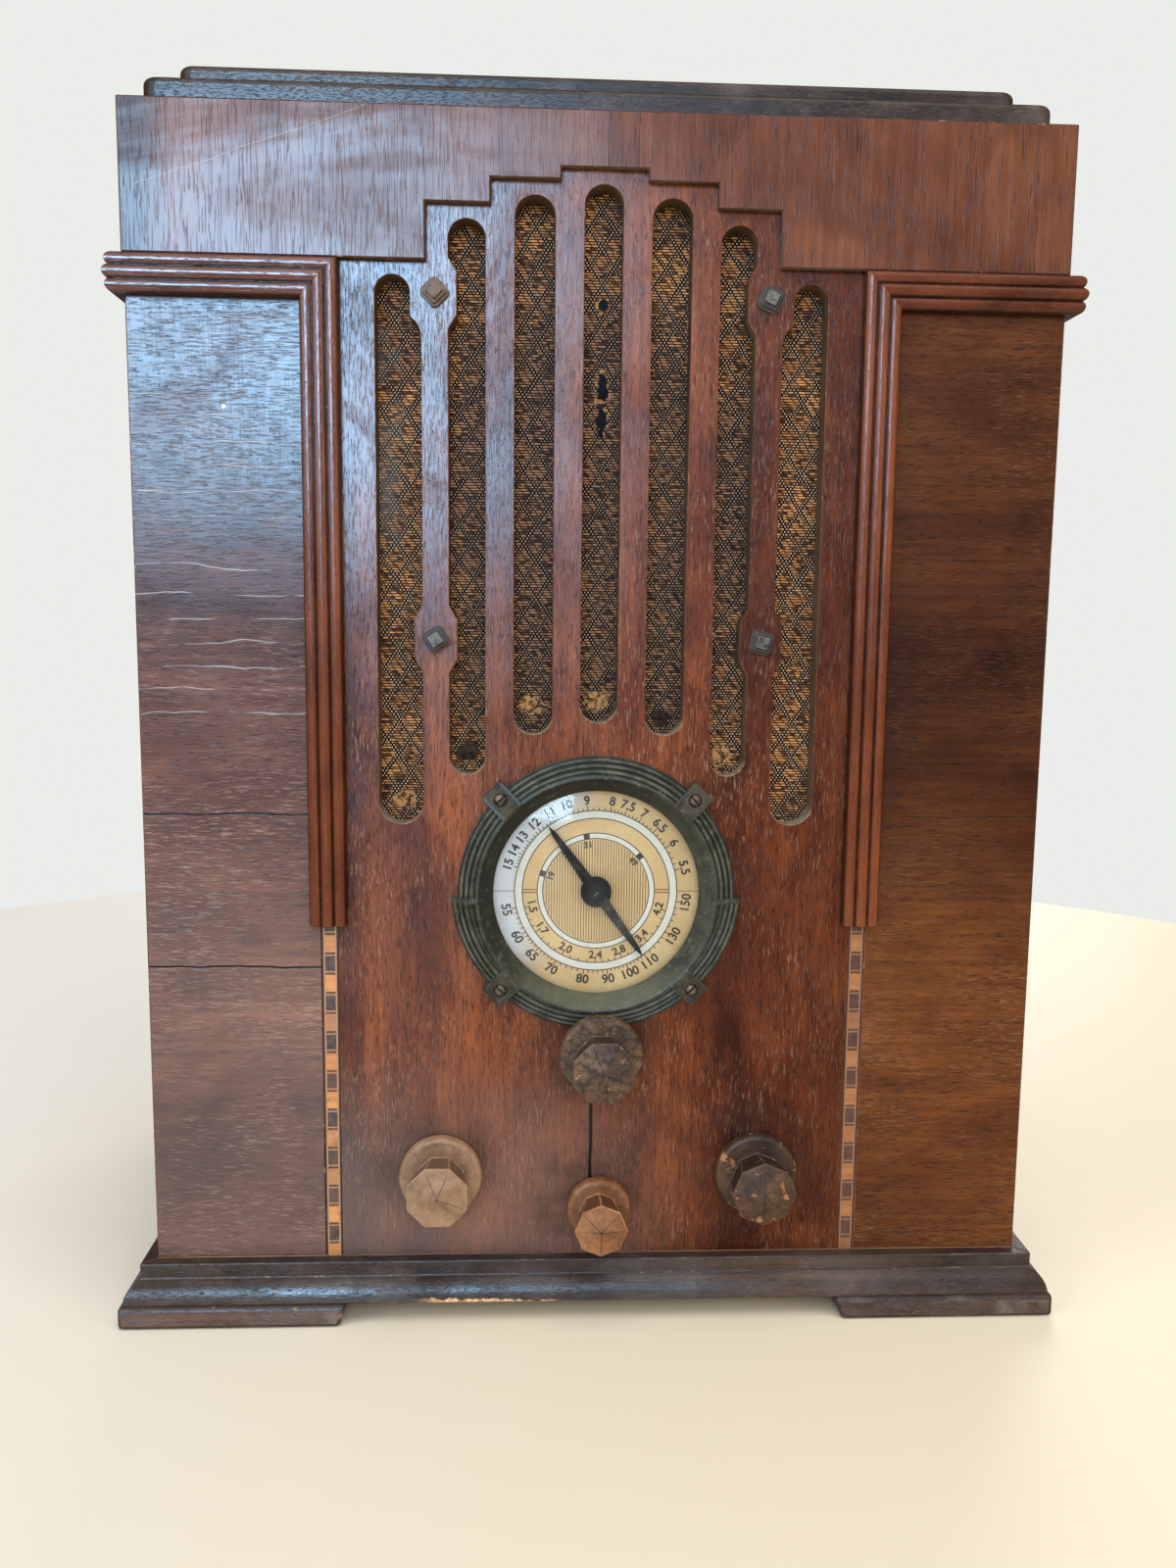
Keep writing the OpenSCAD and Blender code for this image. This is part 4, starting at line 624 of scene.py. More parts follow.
worn_red = wood("worn_red_edge", "z", RED, 1.0, 0.07, 0.6, 0.8, wear=0.35, gloss=0.45, marks=dust_marks)
slot_wall = wood("slot_wall", "z", OLIVE, 1.5, 0.05, 0.6, 0.2, gloss=0.5, marks=dust_marks)
# Darker tones for the header's worn edges: painted shade on its stepped outline.
header_edge_shaded = wood("header_edge_shaded", "z", HEADER_EDGE_SHADE, 2.5, 0.05, 0.6, 0.3, wear=0.15, gloss=0.4)
print("nodes in the finish of the base:", len(base_lacquer.node_tree.nodes))

# %% [markdown]
# ## Softer edges
# A sawn board never keeps a knife edge: sanding rounds it, and many years of hands wear it further. Each
# wooden piece is made again from its own solid with a small bevel on every sharp edge. The bevel's faces
# take a second finish, so the wear sits exactly on the edges. Faces may also take a third one by the way
# they look, such as the bare inside of a veneered board.

# %% Take a mesh from a solid
SMOOTH_BELOW = 38


def solid_mesh(node):
    bm = bmesh.new()
    bm.from_mesh(nodes[node].data)
    bmesh.ops.remove_doubles(bm, verts=bm.verts, dist=2e-6)
    bmesh.ops.dissolve_limit(bm, angle_limit=math.radians(0.3), verts=bm.verts, edges=bm.edges)
    return bm


def settle(bm, name, smooth_angle=SMOOTH_BELOW):
    bmesh.ops.recalc_face_normals(bm, faces=bm.faces)
    made = bpy.data.meshes.new(name)
    bm.to_mesh(made)
    bm.free()
    made.shade_smooth()
    made.set_sharp_from_angle(angle=math.radians(smooth_angle))
    return made


def add_piece(name, mesh, materials, body="cabinet", replaces=()):
    mesh.materials.clear()
    for material in materials:
        mesh.materials.append(material)
    made = link(bpy.data.objects.new(name, mesh))
    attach(made, body)
    if replaces:
        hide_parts(*replaces)
    return made


def evaluated(made):
    """The mesh that an object's modifiers give."""
    return bpy.data.meshes.new_from_object(made.evaluated_get(bpy.context.evaluated_depsgraph_get()))


print("smooth below", SMOOTH_BELOW, "degrees")

# %% [markdown]
# The wear is a bevel modifier, made real at once. Its own faces carry the last material of the list, and the
# normals are weighted by area, so that flat boards stay flat right up to their rounded edges.

# %% Wear the edges
BEVEL_ABOVE = 40


def paint_faces(mesh, material, chosen):
    mesh.materials.append(material)
    for face in mesh.polygons:
        if chosen(face):
            face.material_index = len(mesh.materials) - 1


def soften(node, materials, width, inside=None, facets=None, walls=None):
    """Make a solid again with worn edges.

    inside = (direction, finish) for the faces that look that way; walls = a finish for faces square to the
    front; faces in front of y = facets stay flat.
    """
    mesh = settle(solid_mesh(node), node + "_finished")
    for face in mesh.polygons:
        if facets is not None and face.center.y < facets:
            face.use_smooth = False
    made = add_piece(node + "_finished", mesh, materials, body_of_node[node], [node])
    bevel = made.modifiers.new("worn_edges", "BEVEL")
    bevel.limit_method, bevel.angle_limit = "ANGLE", math.radians(BEVEL_ABOVE)
    bevel.width, bevel.segments = width, 2
    bevel.material = len(materials) - 1
    made.modifiers.new("even_normals", "WEIGHTED_NORMAL").keep_sharp = True
    worn = evaluated(made)
    made.modifiers.clear()
    made.data = worn
    worn.name = node + "_finished"
    if walls:
        paint_faces(worn, walls, lambda face: abs(face.normal.y) < 0.5)
    if inside:
        paint_faces(worn, inside[1], lambda face: face.normal.dot(Vector(inside[0])) > 0.9)
    return made


print("edges that wear: sharper than", BEVEL_ABOVE, "degrees")

# %% [markdown]
# Now the boards: each has the finish of its faces, the finish of its worn edges and the width of the wear,
# in mm.

# %% Soften the boards
boards = {
    "grille_panel": (centre_veneer, worn_red, 0.7), "left_stile": (left_veneer, worn_red, 0.5),
    "right_stile": (right_veneer, worn_red, 0.5), "header_panel": (header_veneer, header_edge_shaded, 0.6),
    "left_side": (side_veneer, worn_red, 0.8), "right_side": (side_veneer, worn_red, 0.8),
    "top_board": (top_veneer, worn_red, 0.6), "lower_top_step": (dark_lacquer, worn_dark, 0.8),
    "upper_top_step": (dark_lacquer, worn_dark, 0.8), "bottom_board": (board_wood, board_wood, 0.6),
    "base_front_moulding": (base_lacquer, worn_dark, 0.6), "base_left_moulding": (dark_side, worn_dark, 0.8),
    "base_right_moulding": (dark_side, worn_dark, 0.8), "feet": (foot_lacquer, worn_dark, 1.6),
    "cap_mouldings": (cap_lacquer, cap_lacquer, 0.12), "cap_returns": (return_lacquer, return_lacquer, 0.12),
    "post_mouldings": (reed_lacquer, reed_lacquer, 0.12), "glue_blocks": (plain_wood, plain_wood, 0.5),
    "speaker_baffle": (plain_wood, plain_wood, 0.4),
}
bare_side = {"left_side": (1, 0, 0), "right_side": (-1, 0, 0), "top_board": (0, 0, -1),
             "grille_panel": (0, 1, 0), "left_stile": (0, 1, 0), "right_stile": (0, 1, 0)}
for node, (face_finish, edge_finish, width) in boards.items():
    soften(node, [face_finish, edge_finish], width * mm,
           inside=(bare_side[node], plain_wood) if node in bare_side else None,
           walls=slot_wall if node in ("grille_panel", "header_panel") else None)
print("boards softened:", len(boards))

# %% [markdown]
# ## Metals and other plain stuffs
# Under the wood there is a steel chassis, cast and spun metal, moulded plastic and paper. One recipe covers
# the metals: a base tone that drifts, fine scuffs, and rust or tarnish that gathers in patches. Grey dust
# lies on what faces up. A second recipe covers what isn't metal: two tones, a fine tooth and a drifting
# gloss.

# %% The metal recipe and the plain recipe
GREY_DUST, BROWN_DUST = (0.27, 0.235, 0.19), (0.24, 0.20, 0.155)


def metal(name, colour, tarnish, amount=0.35, rough=0.38, metallic=0.85, grain=(1, 1, 1), scale=60,
          relief=0.2, dust_above=None):
    """dust_above is a height from which dust lies on the metal."""
    f = Finish(name)
    scuff = f.noise(700, 3, 0.6, 0.0, f.stretched(grain))
    drift = f.noise(scale, 5, 0.62, 0.2, f.stretched((1, 1, 1), 2))
    stain = drift.step(0.72 - 0.4 * amount, 0.80 - 0.25 * amount)
    base = f.mix(scuff.step(0.3, 0.7), shade(colour, 0.8), colour)
    if dust_above is not None:
        dust = f.z.step(dust_above - 0.3 * mm, dust_above) * f.noise(45, 4, 0.6).step(0.25, 0.60) * 0.75
        base, stain = f.mix(dust, base, GREY_DUST), stain.most(dust * 0.9)
        tarnish = f.mix(dust, tarnish, BROWN_DUST)
    return f.done(f.mix(stain, base, tarnish), scuff * 0.2 + stain * 0.3 + (rough - 0.1),
                  f.bump(scuff * 0.5 + stain * 0.5, relief, 0.0002),
                  metallic=metallic - stain * (metallic * 0.8))


def stuff(name, dark, light, rough=0.5, relief=0.25, shine=0.5):
    f = Finish(name)
    drift = f.noise(80, 4, 0.6)
    tooth = f.noise(500, 3, 0.6, 0.0, f.stretched((1, 1, 1)))
    tone = drift * 0.6 + tooth * 0.4
    colour = f.mix(tone.step(0.35, 0.65), dark, light)
    return f.done(colour, drift * 0.2 + rough - 0.1, f.bump(tooth, relief, 0.0003), shine=shine)


steel = metal("plated_steel", (0.50, 0.50, 0.47), (0.23, 0.13, 0.07))
chassis_steel = metal("chassis_steel", (0.46, 0.46, 0.43), (0.22, 0.115, 0.055), 0.5, 0.42, scale=38,
                      dust_above=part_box("chassis")[1].z)
shaft_steel = metal("shaft_steel", (0.55, 0.54, 0.51), (0.20, 0.12, 0.07), 0.2, 0.3, grain=(1, 0.05, 1))
aluminium = metal("aluminium", (0.53, 0.53, 0.52), (0.33, 0.32, 0.30), 0.4, 0.42, grain=(1, 1, 0.06))
brass = metal("brass", (0.62, 0.43, 0.16), (0.20, 0.12, 0.05), 0.4)
black_iron = metal("black_iron", (0.035, 0.034, 0.033), (0.10, 0.055, 0.03), 0.25, 0.5, 0.3)
basket_paint = metal("basket_paint", (0.05, 0.05, 0.052), (0.13, 0.10, 0.08), 0.25, 0.45, 0.2)
fibre = stuff("fibre_board", (0.16, 0.085, 0.04), (0.27, 0.15, 0.07), 0.6)
moulded = stuff("moulded_plastic", (0.018, 0.013, 0.011), (0.045, 0.032, 0.026), 0.35)
rubber = stuff("rubber", (0.018, 0.018, 0.018), (0.040, 0.038, 0.036), 0.75)
black_paint = stuff("pointer_black", (0.010, 0.009, 0.009), (0.024, 0.022, 0.021), 0.65, relief=0.04,
                    shine=0.15)

# %% [markdown]
# ## Bolts and screws on the front
# The four bolts that hold the speaker have heads of three square tiers: painted shade in the corners between
# them, brown on the steps, grey on the top, which is rubbed steel with a painted highlight, and one of them
# rusty. The four bezel screws have round brown heads, and their slots are painted almost black. They stand
# on the corners of a square, with slots square to its diagonals, so the sum of the two distances from the
# middle finds all four slots at once.

# %% Heads of bolts and screws
TIER, HEAD_RADIUS, SLOT_HALF = 1.5, 2.4 * mm, 0.4 * mm


def bolt_head():
    f = Finish("bolt_bronze")
    proud = (front_y - f.y) * (1000 / TIER)
    grime = f.noise(420, 4, 0.65)
    brown = f.mix(grime.step(0.35, 0.65), (0.085, 0.052, 0.030), (0.19, 0.13, 0.075))
    # Painted shade in the corners between the tiers.
    corner = (proud + 0.02).fract().step(0.75, 0.25) * proud.step(0.05, 0.15)
    colour = f.mix(corner * 0.85, brown, (0.022, 0.014, 0.009))
    rust = f.x.step(-0.03, -0.04) * f.climb(250, 270)
    # The grey top tier: rubbed steel and a painted highlight.
    rubbed = proud.step(2.9, 2.98) * f.noise(330, 3, 0.6).step(0.30, 0.55) * (1 - rust)
    colour = f.mix(rubbed * 0.7, colour, (0.17, 0.165, 0.145))
    colour = f.mix(rust * grime.step(0.25, 0.6) * 0.8, colour, (0.21, 0.115, 0.055))
    return f.done(colour, grime * 0.3 + 0.45, f.bump(grime, 0.4, 0.0003), metallic=0.1, shine=0.3)


def slotted_head():
    f = Finish("slotted_screw")
    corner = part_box("bezel_screws")[1].x - dial_x - HEAD_RADIUS
    off_slot = abs(abs(f.x - dial_x) + abs(f.z - dial_z) - 2 * corner) * math.sqrt(0.5)
    grime = f.noise(420, 4, 0.65)
    colour = f.mix(grime.step(0.35, 0.65), (0.085, 0.047, 0.026), (0.20, 0.135, 0.085))
    # The slots are painted almost black.
    colour = f.mix(off_slot.step(SLOT_HALF + 0.1 * mm, SLOT_HALF) * 0.95, colour, CRACK)
    return f.done(colour, grime * 0.3 + 0.4, f.bump(grime, 0.4, 0.0003), metallic=0.2, shine=0.3)


rusty = metal("rusty_screw", (0.17, 0.13, 0.085), (0.12, 0.065, 0.035), 0.5, 0.55, 0.4, scale=300,
              relief=0.5)
soften("speaker_bolts", [bolt_head(), rusty], 0.25 * mm)
soften("bezel_screws", [slotted_head()], 0.12 * mm)
print("bolt tiers:", TIER, "mm")

# %% [markdown]
# ## Cone and transformer
# The cone is black felted paper with pressed ring folds near its rim, so that it can move. The mains
# transformer is a stack of lacquered iron sheets between two pressed bells. Both patterns follow a measure
# of the piece, so the separate solids of a node are measured first: the core is the largest of them.

# %% Paper cone and iron sheets
FOLD, SHEET = 3.4 * mm, 1.0


def loose_boxes(node):
    """Lowest and highest corner of each separate solid in a node."""
    bm = solid_mesh(node)
    waiting, boxes = set(bm.verts), []
    while waiting:
        edge, corners = [waiting.pop()], []
        while edge:
            v = edge.pop()
            corners.append(v.co.copy())
            near = {e.other_vert(v) for e in v.link_edges} & waiting
            waiting -= near
            edge += near
        boxes.append([Vector([end(c[i] for c in corners) for i in range(3)]) for end in (min, max)])
    bm.free()
    return sorted(boxes, key=lambda box: tuple(box[0]))


def paper_cone():
    f = Finish("cone_paper")
    low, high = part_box("speaker_cone")
    radius = f.around((low.x + high.x) / 2, (low.z + high.z) / 2)[2]
    felt = f.noise(900, 4, 0.7)
    folds = ((radius * (2 * math.pi / FOLD)).sine() * 0.5 + 0.5) * radius.step(50 * mm, 53 * mm)
    colour = f.mix(felt * 0.6 + folds * 0.4, (0.030, 0.027, 0.025), (0.10, 0.085, 0.072))
    return f.done(colour, felt * 0.1 + 0.8, f.bump(folds + felt * 0.2, 0.8, 0.0012))


def laminations(low, high):
    f = Finish("transformer_iron")
    inside = f.y.step(low.y + 0.1 * mm, low.y + 0.3 * mm) * f.y.step(high.y - 0.1 * mm, high.y - 0.3 * mm)
    sheet = abs((f.y * (1000 / SHEET)).fract() - 0.5).step(0.30, 0.42) * inside
    wear = f.noise(70, 5, 0.65)
    rust = wear.step(0.50, 0.72) * (inside * 0.6 + 0.25)
    colour = f.mix(rust, (0.024, 0.023, 0.022), (0.115, 0.062, 0.034))
    colour = f.mix(sheet * 0.8, colour, (0.006, 0.005, 0.005))
    dust = f.z.step(high.z - 0.2 * mm, high.z) * wear.step(0.3, 0.6) * 0.6
    colour = f.mix(dust, colour, BROWN_DUST)
    return f.done(colour, wear * 0.25 + 0.33, f.bump(wear * 0.3 - sheet, 0.5, 0.0004))


core_low, core_high = max(loose_boxes("power_transformer"), key=lambda box: (box[1] - box[0]).length)
print("transformer core:", [round(v, 4) for v in core_high - core_low])

# %% [markdown]
# These pieces keep the shape of their solids and only take a finish.

# %% Dress the plain pieces
def dress(node, material):
    nodes[node].data.materials.clear()
    nodes[node].data.materials.append(material)


plain_pieces = {
    basket_paint: ["speaker_basket"], paper_cone(): ["speaker_cone"], black_paint: ["dial_pointer"],
    black_iron: ["field_coil", "output_transformer"], chassis_steel: ["chassis"], moulded: ["valve_bases"],
    steel: ["dial_pan", "gang_stand", "gang_frame", "potentiometers", "chassis_bolts"],
    brass: ["dial_lamps", "control_nuts"], laminations(core_low, core_high): ["power_transformer"],
    aluminium: ["gang_stators", "gang_rotor", "filter_cans", "valve_shields", "coil_cans"],
    fibre: ["drive_disc", "band_switch", "valve_sockets", "rear_terminals"], rubber: ["cord_grommet"],
    shaft_steel: ["tuning_shaft", "volume_shaft", "tone_shaft", "band_shaft"],
}
for material, members in plain_pieces.items():
    for node in members:
        dress(node, material)
print("plain finishes on:", sum(len(members) for members in plain_pieces.values()))

# %% [markdown]
# ## Bezel
# The ring is spun brass under a dark green-black patina. Inside the rim is a sloping wall, with painted
# shade at the upper left and painted light below; outside are three ridges, darkened between them by dirt
# and painted shade, with pale crests of dust and painted highlight. The lower half of the ring is a little
# wider and has its own centre, so the distance that draws the ridges changes at the step. Rubbing shows on
# every edge, so the bevel faces take a paler version, which is also a painted highlight on the edges.

# %% Patina on the bezel
FIRST_RIDGE, RIDGE_GAP, WIDER, STEP_Z = 47.9 * mm, 2.08 * mm, 2.6 * mm, -1.3 * mm
PATINA = ((0.030, 0.031, 0.022), (0.058, 0.060, 0.042), (0.098, 0.097, 0.066))


def patina(name, dust):
    f = Finish(name)
    across, up, radius = f.around(dial_x, dial_z)
    grime = f.noise(150, 5, 0.65)
    rings = (radius * 9000 + grime * 3).sine() * 0.5 + 0.5
    tone = grime * 0.85 + rings * 0.15
    base = f.ramp(tone, list(zip((0.34, 0.52, 0.70), PATINA)))
    cone = radius.step(46 * mm, 45 * mm)
    # Painted shade on the upper left of the sloping wall inside the rim.
    base = f.mix((up - across).step(-22 * mm, 42 * mm) * cone * 0.8, base, (0.014, 0.015, 0.011))
    low_up = up - WIDER
    low_radius = (across * across + low_up * low_up).root() - WIDER
    upper = up.step(STEP_Z - 0.2 * mm, STEP_Z + 0.2 * mm)
    ring = radius * upper + low_radius * (1 - upper)
    ridge = abs(((ring - FIRST_RIDGE) * (1 / RIDGE_GAP) + 0.5).fract() - 0.5)
    diagonal = abs(abs(across) - abs(up))
    flat_end = abs(up - STEP_Z + 1 * mm).step(1.1 * mm, 1.0 * mm)
    ridged = ring.step(46.0 * mm, 46.4 * mm) * diagonal.step(6.7 * mm, 6.9 * mm) * (1 - flat_end)
    # Dark between the ridges: dirt and painted shade. Pale crests: dust and a painted highlight.
    base = f.mix(ridge.step(0.26, 0.46) * ridged * 0.8, base, (0.010, 0.010, 0.008))
    base = f.mix(ridge.step(0.16, 0.04) * ridged * grime.step(0.40, 0.62) * 0.45, base, (0.20, 0.175, 0.125))
    strap = diagonal.step(5.3 * mm, 4.9 * mm) * radius.step(45.4 * mm, 45.8 * mm)
    brown = f.mix(grime.step(0.35, 0.65), (0.034, 0.027, 0.019), (0.074, 0.059, 0.040))
    base = f.mix(strap * 0.85, base, brown)
    # Painted light on the lower part of the sloping wall.
    lit = up.step(-26 * mm, -42 * mm) * radius.step(46 * mm, 44 * mm) * 0.45
    base = f.mix(lit, base, (0.155, 0.155, 0.100))
    rubbed = f.noise(420, 4, 0.7).step(0.62 - 0.26 * dust, 0.78 - 0.2 * dust)
    base = f.mix(rubbed * (0.05 + 0.75 * dust), base, (0.40, 0.36, 0.26))
    return f.done(base, grime * 0.3 + 0.36 + strap * 0.3, f.bump(tone + rubbed * 0.5, 0.3, 0.0003),
                  metallic=0.1, shine=0.16)


# The bevel faces take the paler copy: rubbing and a painted highlight on the edges.
soften("dial_bezel", [patina("bezel_patina", 0.25), patina("bezel_edge_rubbed_highlight", 0.8)], 0.22 * mm)

# %% [markdown]
# ## Dial card
# The card is printed in two rings with ruled lines in the middle. Rings and rules are drawn by the finish
# itself, from the distance to the dial's centre. Only the figures and marks, which stand on no simple rule,
# are pieces.

# %% Print the card
INK, WHITE = (0.035, 0.026, 0.020), (0.77, 0.79, 0.77)
WHITE_RINGS, RULE_GAP = ((28.7, 31.75), (20.75, 22.9)), 1.05


def ring_mask(radius, inner, outer, soft=0.08):
    """1 between two radii, in mm."""
    starts = radius.step((inner - soft) * mm, (inner + soft) * mm)
    return starts * radius.step((outer + soft) * mm, (outer - soft) * mm)


f = Finish("dial_card")
across, up, radius = f.around(dial_x, dial_z)
age = f.noise(45, 4, 0.6)
foxing = f.noise(260, 4, 0.65).step(0.60, 0.80)
card = f.mix(age.step(0.35, 0.65), (0.68, 0.475, 0.22), (0.77, 0.57, 0.30))
# Painted light: the outer scale turns bluish white on the left, where the cool daylight falls.
cool_light_left = (across * 0.9 - up * 0.3).step(-0.006, -0.027) * radius.step(29 * mm, 34 * mm)
card = f.mix(cool_light_left * 0.92, card, (0.72, 0.80, 0.98))
ruled = abs((across * (1000 / RULE_GAP)).fract() - 0.5).step(0.26, 0.14) * ring_mask(radius, -1, 20.3)
card = f.mix(ruled * 0.85, card, (0.16, 0.09, 0.035))
for inner, outer in WHITE_RINGS:
    card = f.mix(ring_mask(radius, inner, outer), card, WHITE)
    for edge in (inner, outer):
        card = f.mix(ring_mask(radius, edge - 0.2, edge + 0.2, 0.06), card, INK)
level = abs(up)
rule = level.step(0.16 * mm, 0.08 * mm) * ring_mask(radius, 31.75, 41)
bars = abs(level - 0.55 * mm).step(0.28 * mm, 0.18 * mm) * ring_mask(radius, 22.9, 28.7)
card = f.mix(rule, card, INK)
card = f.mix(bars, card, (0.22, 0.10, 0.05))
card = f.mix(foxing * 0.35, card, (0.40, 0.26, 0.13))
dress("dial_plate", f.done(card, age * 0.2 + 0.5, f.bump(f.noise(900, 3), 0.08, 0.0002)))
card_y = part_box("dial_plate")[0].y
print("dial card at y =", round(card_y, 5))

# %% [markdown]
# Scale marks are one small bar, stamped many times. A Geometry Nodes tree does the stamping: it takes
# points that carry a turn and a stretch, puts a bar on each, and makes the result real. Trees of the same
# kind later stamp rivets, nuts and what is inside the valves.

# %% Trees that stamp one shape on many places
def stamp_tree(name, kind, sizes):
    tree = bpy.data.node_groups.new(name, "GeometryNodeTree")
    g = Graph(tree)
    for label, socket in (("Places", "Geometry"), ("Size", "Vector"), ("Finish", "Material")):
        tree.interface.new_socket(label, in_out="INPUT", socket_type="NodeSocket" + socket)
    tree.interface.new_socket("Stamps", in_out="OUTPUT", socket_type="NodeSocketGeometry")
    given = g.add("NodeGroupInput")
    turn, stretch = (g.add("GeometryNodeInputNamedAttribute", {"data_type": "FLOAT_VECTOR"}, {"Name": key})
                     for key in ("turn", "stretch"))
    size = g.add("ShaderNodeVectorMath", {"operation": "MULTIPLY"}, {0: given.other("Size"), 1: stretch})
    shape = g.add("GeometryNodeMesh" + kind, {}, sizes)
    stamps = g.add("GeometryNodeInstanceOnPoints", {}, {
        "Points": given.other("Places"), "Instance": shape, "Rotation": turn, "Scale": size})
    real = g.add("GeometryNodeRealizeInstances", {}, {"Geometry": stamps})
    painted = g.add("GeometryNodeSetMaterial", {}, {"Geometry": real, "Material": given.other("Finish")})
    g.add("NodeGroupOutput", {}, {"Stamps": painted})
    return tree


def stamp(name, tree, places, size, material):
    """places holds (position, turn, stretch) for every stamp."""
    seeds = bpy.data.meshes.new(name + "_places")
    seeds.from_pydata([place[0] for place in places], [], [])
    for key, column in (("turn", 1), ("stretch", 2)):
        attribute = seeds.attributes.new(key, "FLOAT_VECTOR", "POINT")
        for i, place in enumerate(places):
            attribute.data[i].vector = place[column]
    holder = link(bpy.data.objects.new(name + "_places", seeds))
    modifier = holder.modifiers.new("stamp", "NODES")
    modifier.node_group = tree
    given = {"Size": Vector(size), "Finish": material}
    for item in tree.interface.items_tree:
        if item.name in given:
            modifier[item.identifier] = given[item.name]
    made = evaluated(holder)
    made.shade_smooth()
    made.set_sharp_from_angle(angle=math.radians(SMOOTH_BELOW))
    holder.modifiers.clear()
    bpy.data.objects.remove(holder)
    return add_piece(name, made, [material])


bar_stamp = stamp_tree("stamp_bars", "Cube", {"Size": (1, 1, 1)})
dome_stamp = stamp_tree("stamp_domes", "UVSphere", {"Segments": 16, "Rings": 8, "Radius": 0.5})
drum_stamp = stamp_tree("stamp_drums", "Cylinder", {"Vertices": 28, "Radius": 0.5, "Depth": 1.0})
nut_stamp = stamp_tree("stamp_nuts", "Cylinder", {"Vertices": 6, "Radius": 0.5, "Depth": 1.0})
print("stamp trees:", len(bpy.data.node_groups))

# %% [markdown]
# The scales are uneven, so every figure has its own angle, in degrees from the right. A long mark stands at
# each figure, with short ones between.

# %% Scale marks
UPPER = {15: 163, 14: 153.4, 13: 143.7, 12: 132.6, 11: 120.6, 10: 109.3, 9: 96.2, 8: 80.2, 7.5: 70, 7: 58.9,
         6.5: 46.4, 6: 32.4, 5.5: 15.2}
LOWER = {55: -167.8, 60: -149.1, 65: -134.3, 70: -119, 80: -98, 90: -81.5, 100: -67.2, 110: -52.8, 130: -30.7,
         150: -7.7}
SHORT = {1.5: -166.4, 1.7: -145, 2.0: -117.2, 2.4: -89.8, 2.8: -68.5, 3.4: -44.5, 4.2: -16.1}
METRE = {19: 161.6, 25: 127, 31: 100, 49: 39}
INK_THICK = 0.03 * mm
ink = stuff("dial_ink", (0.025, 0.018, 0.014), (0.060, 0.042, 0.030))


def on_dial(angle, radius):
    """A place on the card, from an angle in degrees and a radius in mm."""
    a, r = math.radians(angle), radius * mm
    return Vector((dial_x + r * math.cos(a), card_y - INK_THICK / 2, dial_z + r * math.sin(a)))


def scale_marks(scale, parts, radius, outward):
    marks, angles = [], list(scale.values())
    for i, angle in enumerate(angles):
        marks.append((angle, 2.0))
        if i + 1 < len(angles):
            marks += [(angle + (angles[i + 1] - angle) * k / parts, 1.2) for k in range(1, parts)]
    return [(on_dial(angle, radius + outward * long / 2), (0, -math.radians(angle), 0), (long, 1, 1))
            for angle, long in marks]


places = scale_marks(UPPER, 4, 31.75, 1) + scale_marks(LOWER, 5, 31.75, 1) + scale_marks(SHORT, 4, 28.7, -1)
stamp("dial_marks", bar_stamp, places, (1 * mm, INK_THICK, 0.36 * mm), ink)
blocks = [(on_dial(angle, 21.8), (0, -math.radians(angle), 0), (1, 1, 1)) for angle in METRE.values()]
stamp("dial_blocks", bar_stamp, blocks, (2.0 * mm, INK_THICK, 2.4 * mm), ink)
print("dial marks:", len(places))

# %% [markdown]
# Figures are text, made a little bolder and turned to a mesh. Few steps on each curve keep the bolder
# outline from crossing itself. The upper scale stands with its tops outwards, the lower ones the other way
# round.

# %% Figures
BOLDER, CURVE_STEPS, FIGURE_SHARE = 0.14 * mm, 4, 0.72


def figure(words, angle, radius, height, tops_out):
    curve = bpy.data.curves.new("figure", "FONT")
    curve.body, curve.size = words, height * mm / FIGURE_SHARE
    curve.align_x, curve.align_y = "CENTER", "CENTER"
    curve.resolution_u, curve.extrude, curve.offset = CURVE_STEPS, INK_THICK / 2, BOLDER
    made = link(bpy.data.objects.new("figure", curve))
    mesh = evaluated(made)
    bpy.data.objects.remove(made)
    stand = Matrix.Rotation(math.radians(90), 4, "X")
    spin = Matrix.Rotation(-math.radians(angle - 90 if tops_out else angle + 90), 4, "Y")
    mesh.transform(Matrix.Translation(on_dial(angle, radius)) @ spin @ stand)
    return mesh


bm = bmesh.new()
for scale, radius, height, tops_out in ((UPPER, 35.7, 3.5, True), (LOWER, 35.7, 3.6, False),
                                        (SHORT, 25.6, 3.1, False), (METRE, 18.5, 2.5, True)):
    for value, angle in scale.items():
        words = figure(str(value), angle, radius, height, tops_out)
        bm.from_mesh(words)
        bpy.data.meshes.remove(words)
bmesh.ops.remove_doubles(bm, verts=bm.verts, dist=1e-7)
figures = settle(bm, "dial_figures")
add_piece("dial_figures", figures, [ink])
print("figures:", len(UPPER) + len(LOWER) + len(SHORT) + len(METRE), "with", len(figures.polygons), "faces")

# %% [markdown]
# ## Glass
# Thin glass bends light too little to matter here, so each pane is a blend: clear where it faces you,
# mirror-like at a glancing angle. A little dust keeps it from looking like nothing at all. The tops of the
# valves have a silvery film inside, and above the glass sits a metal cap.

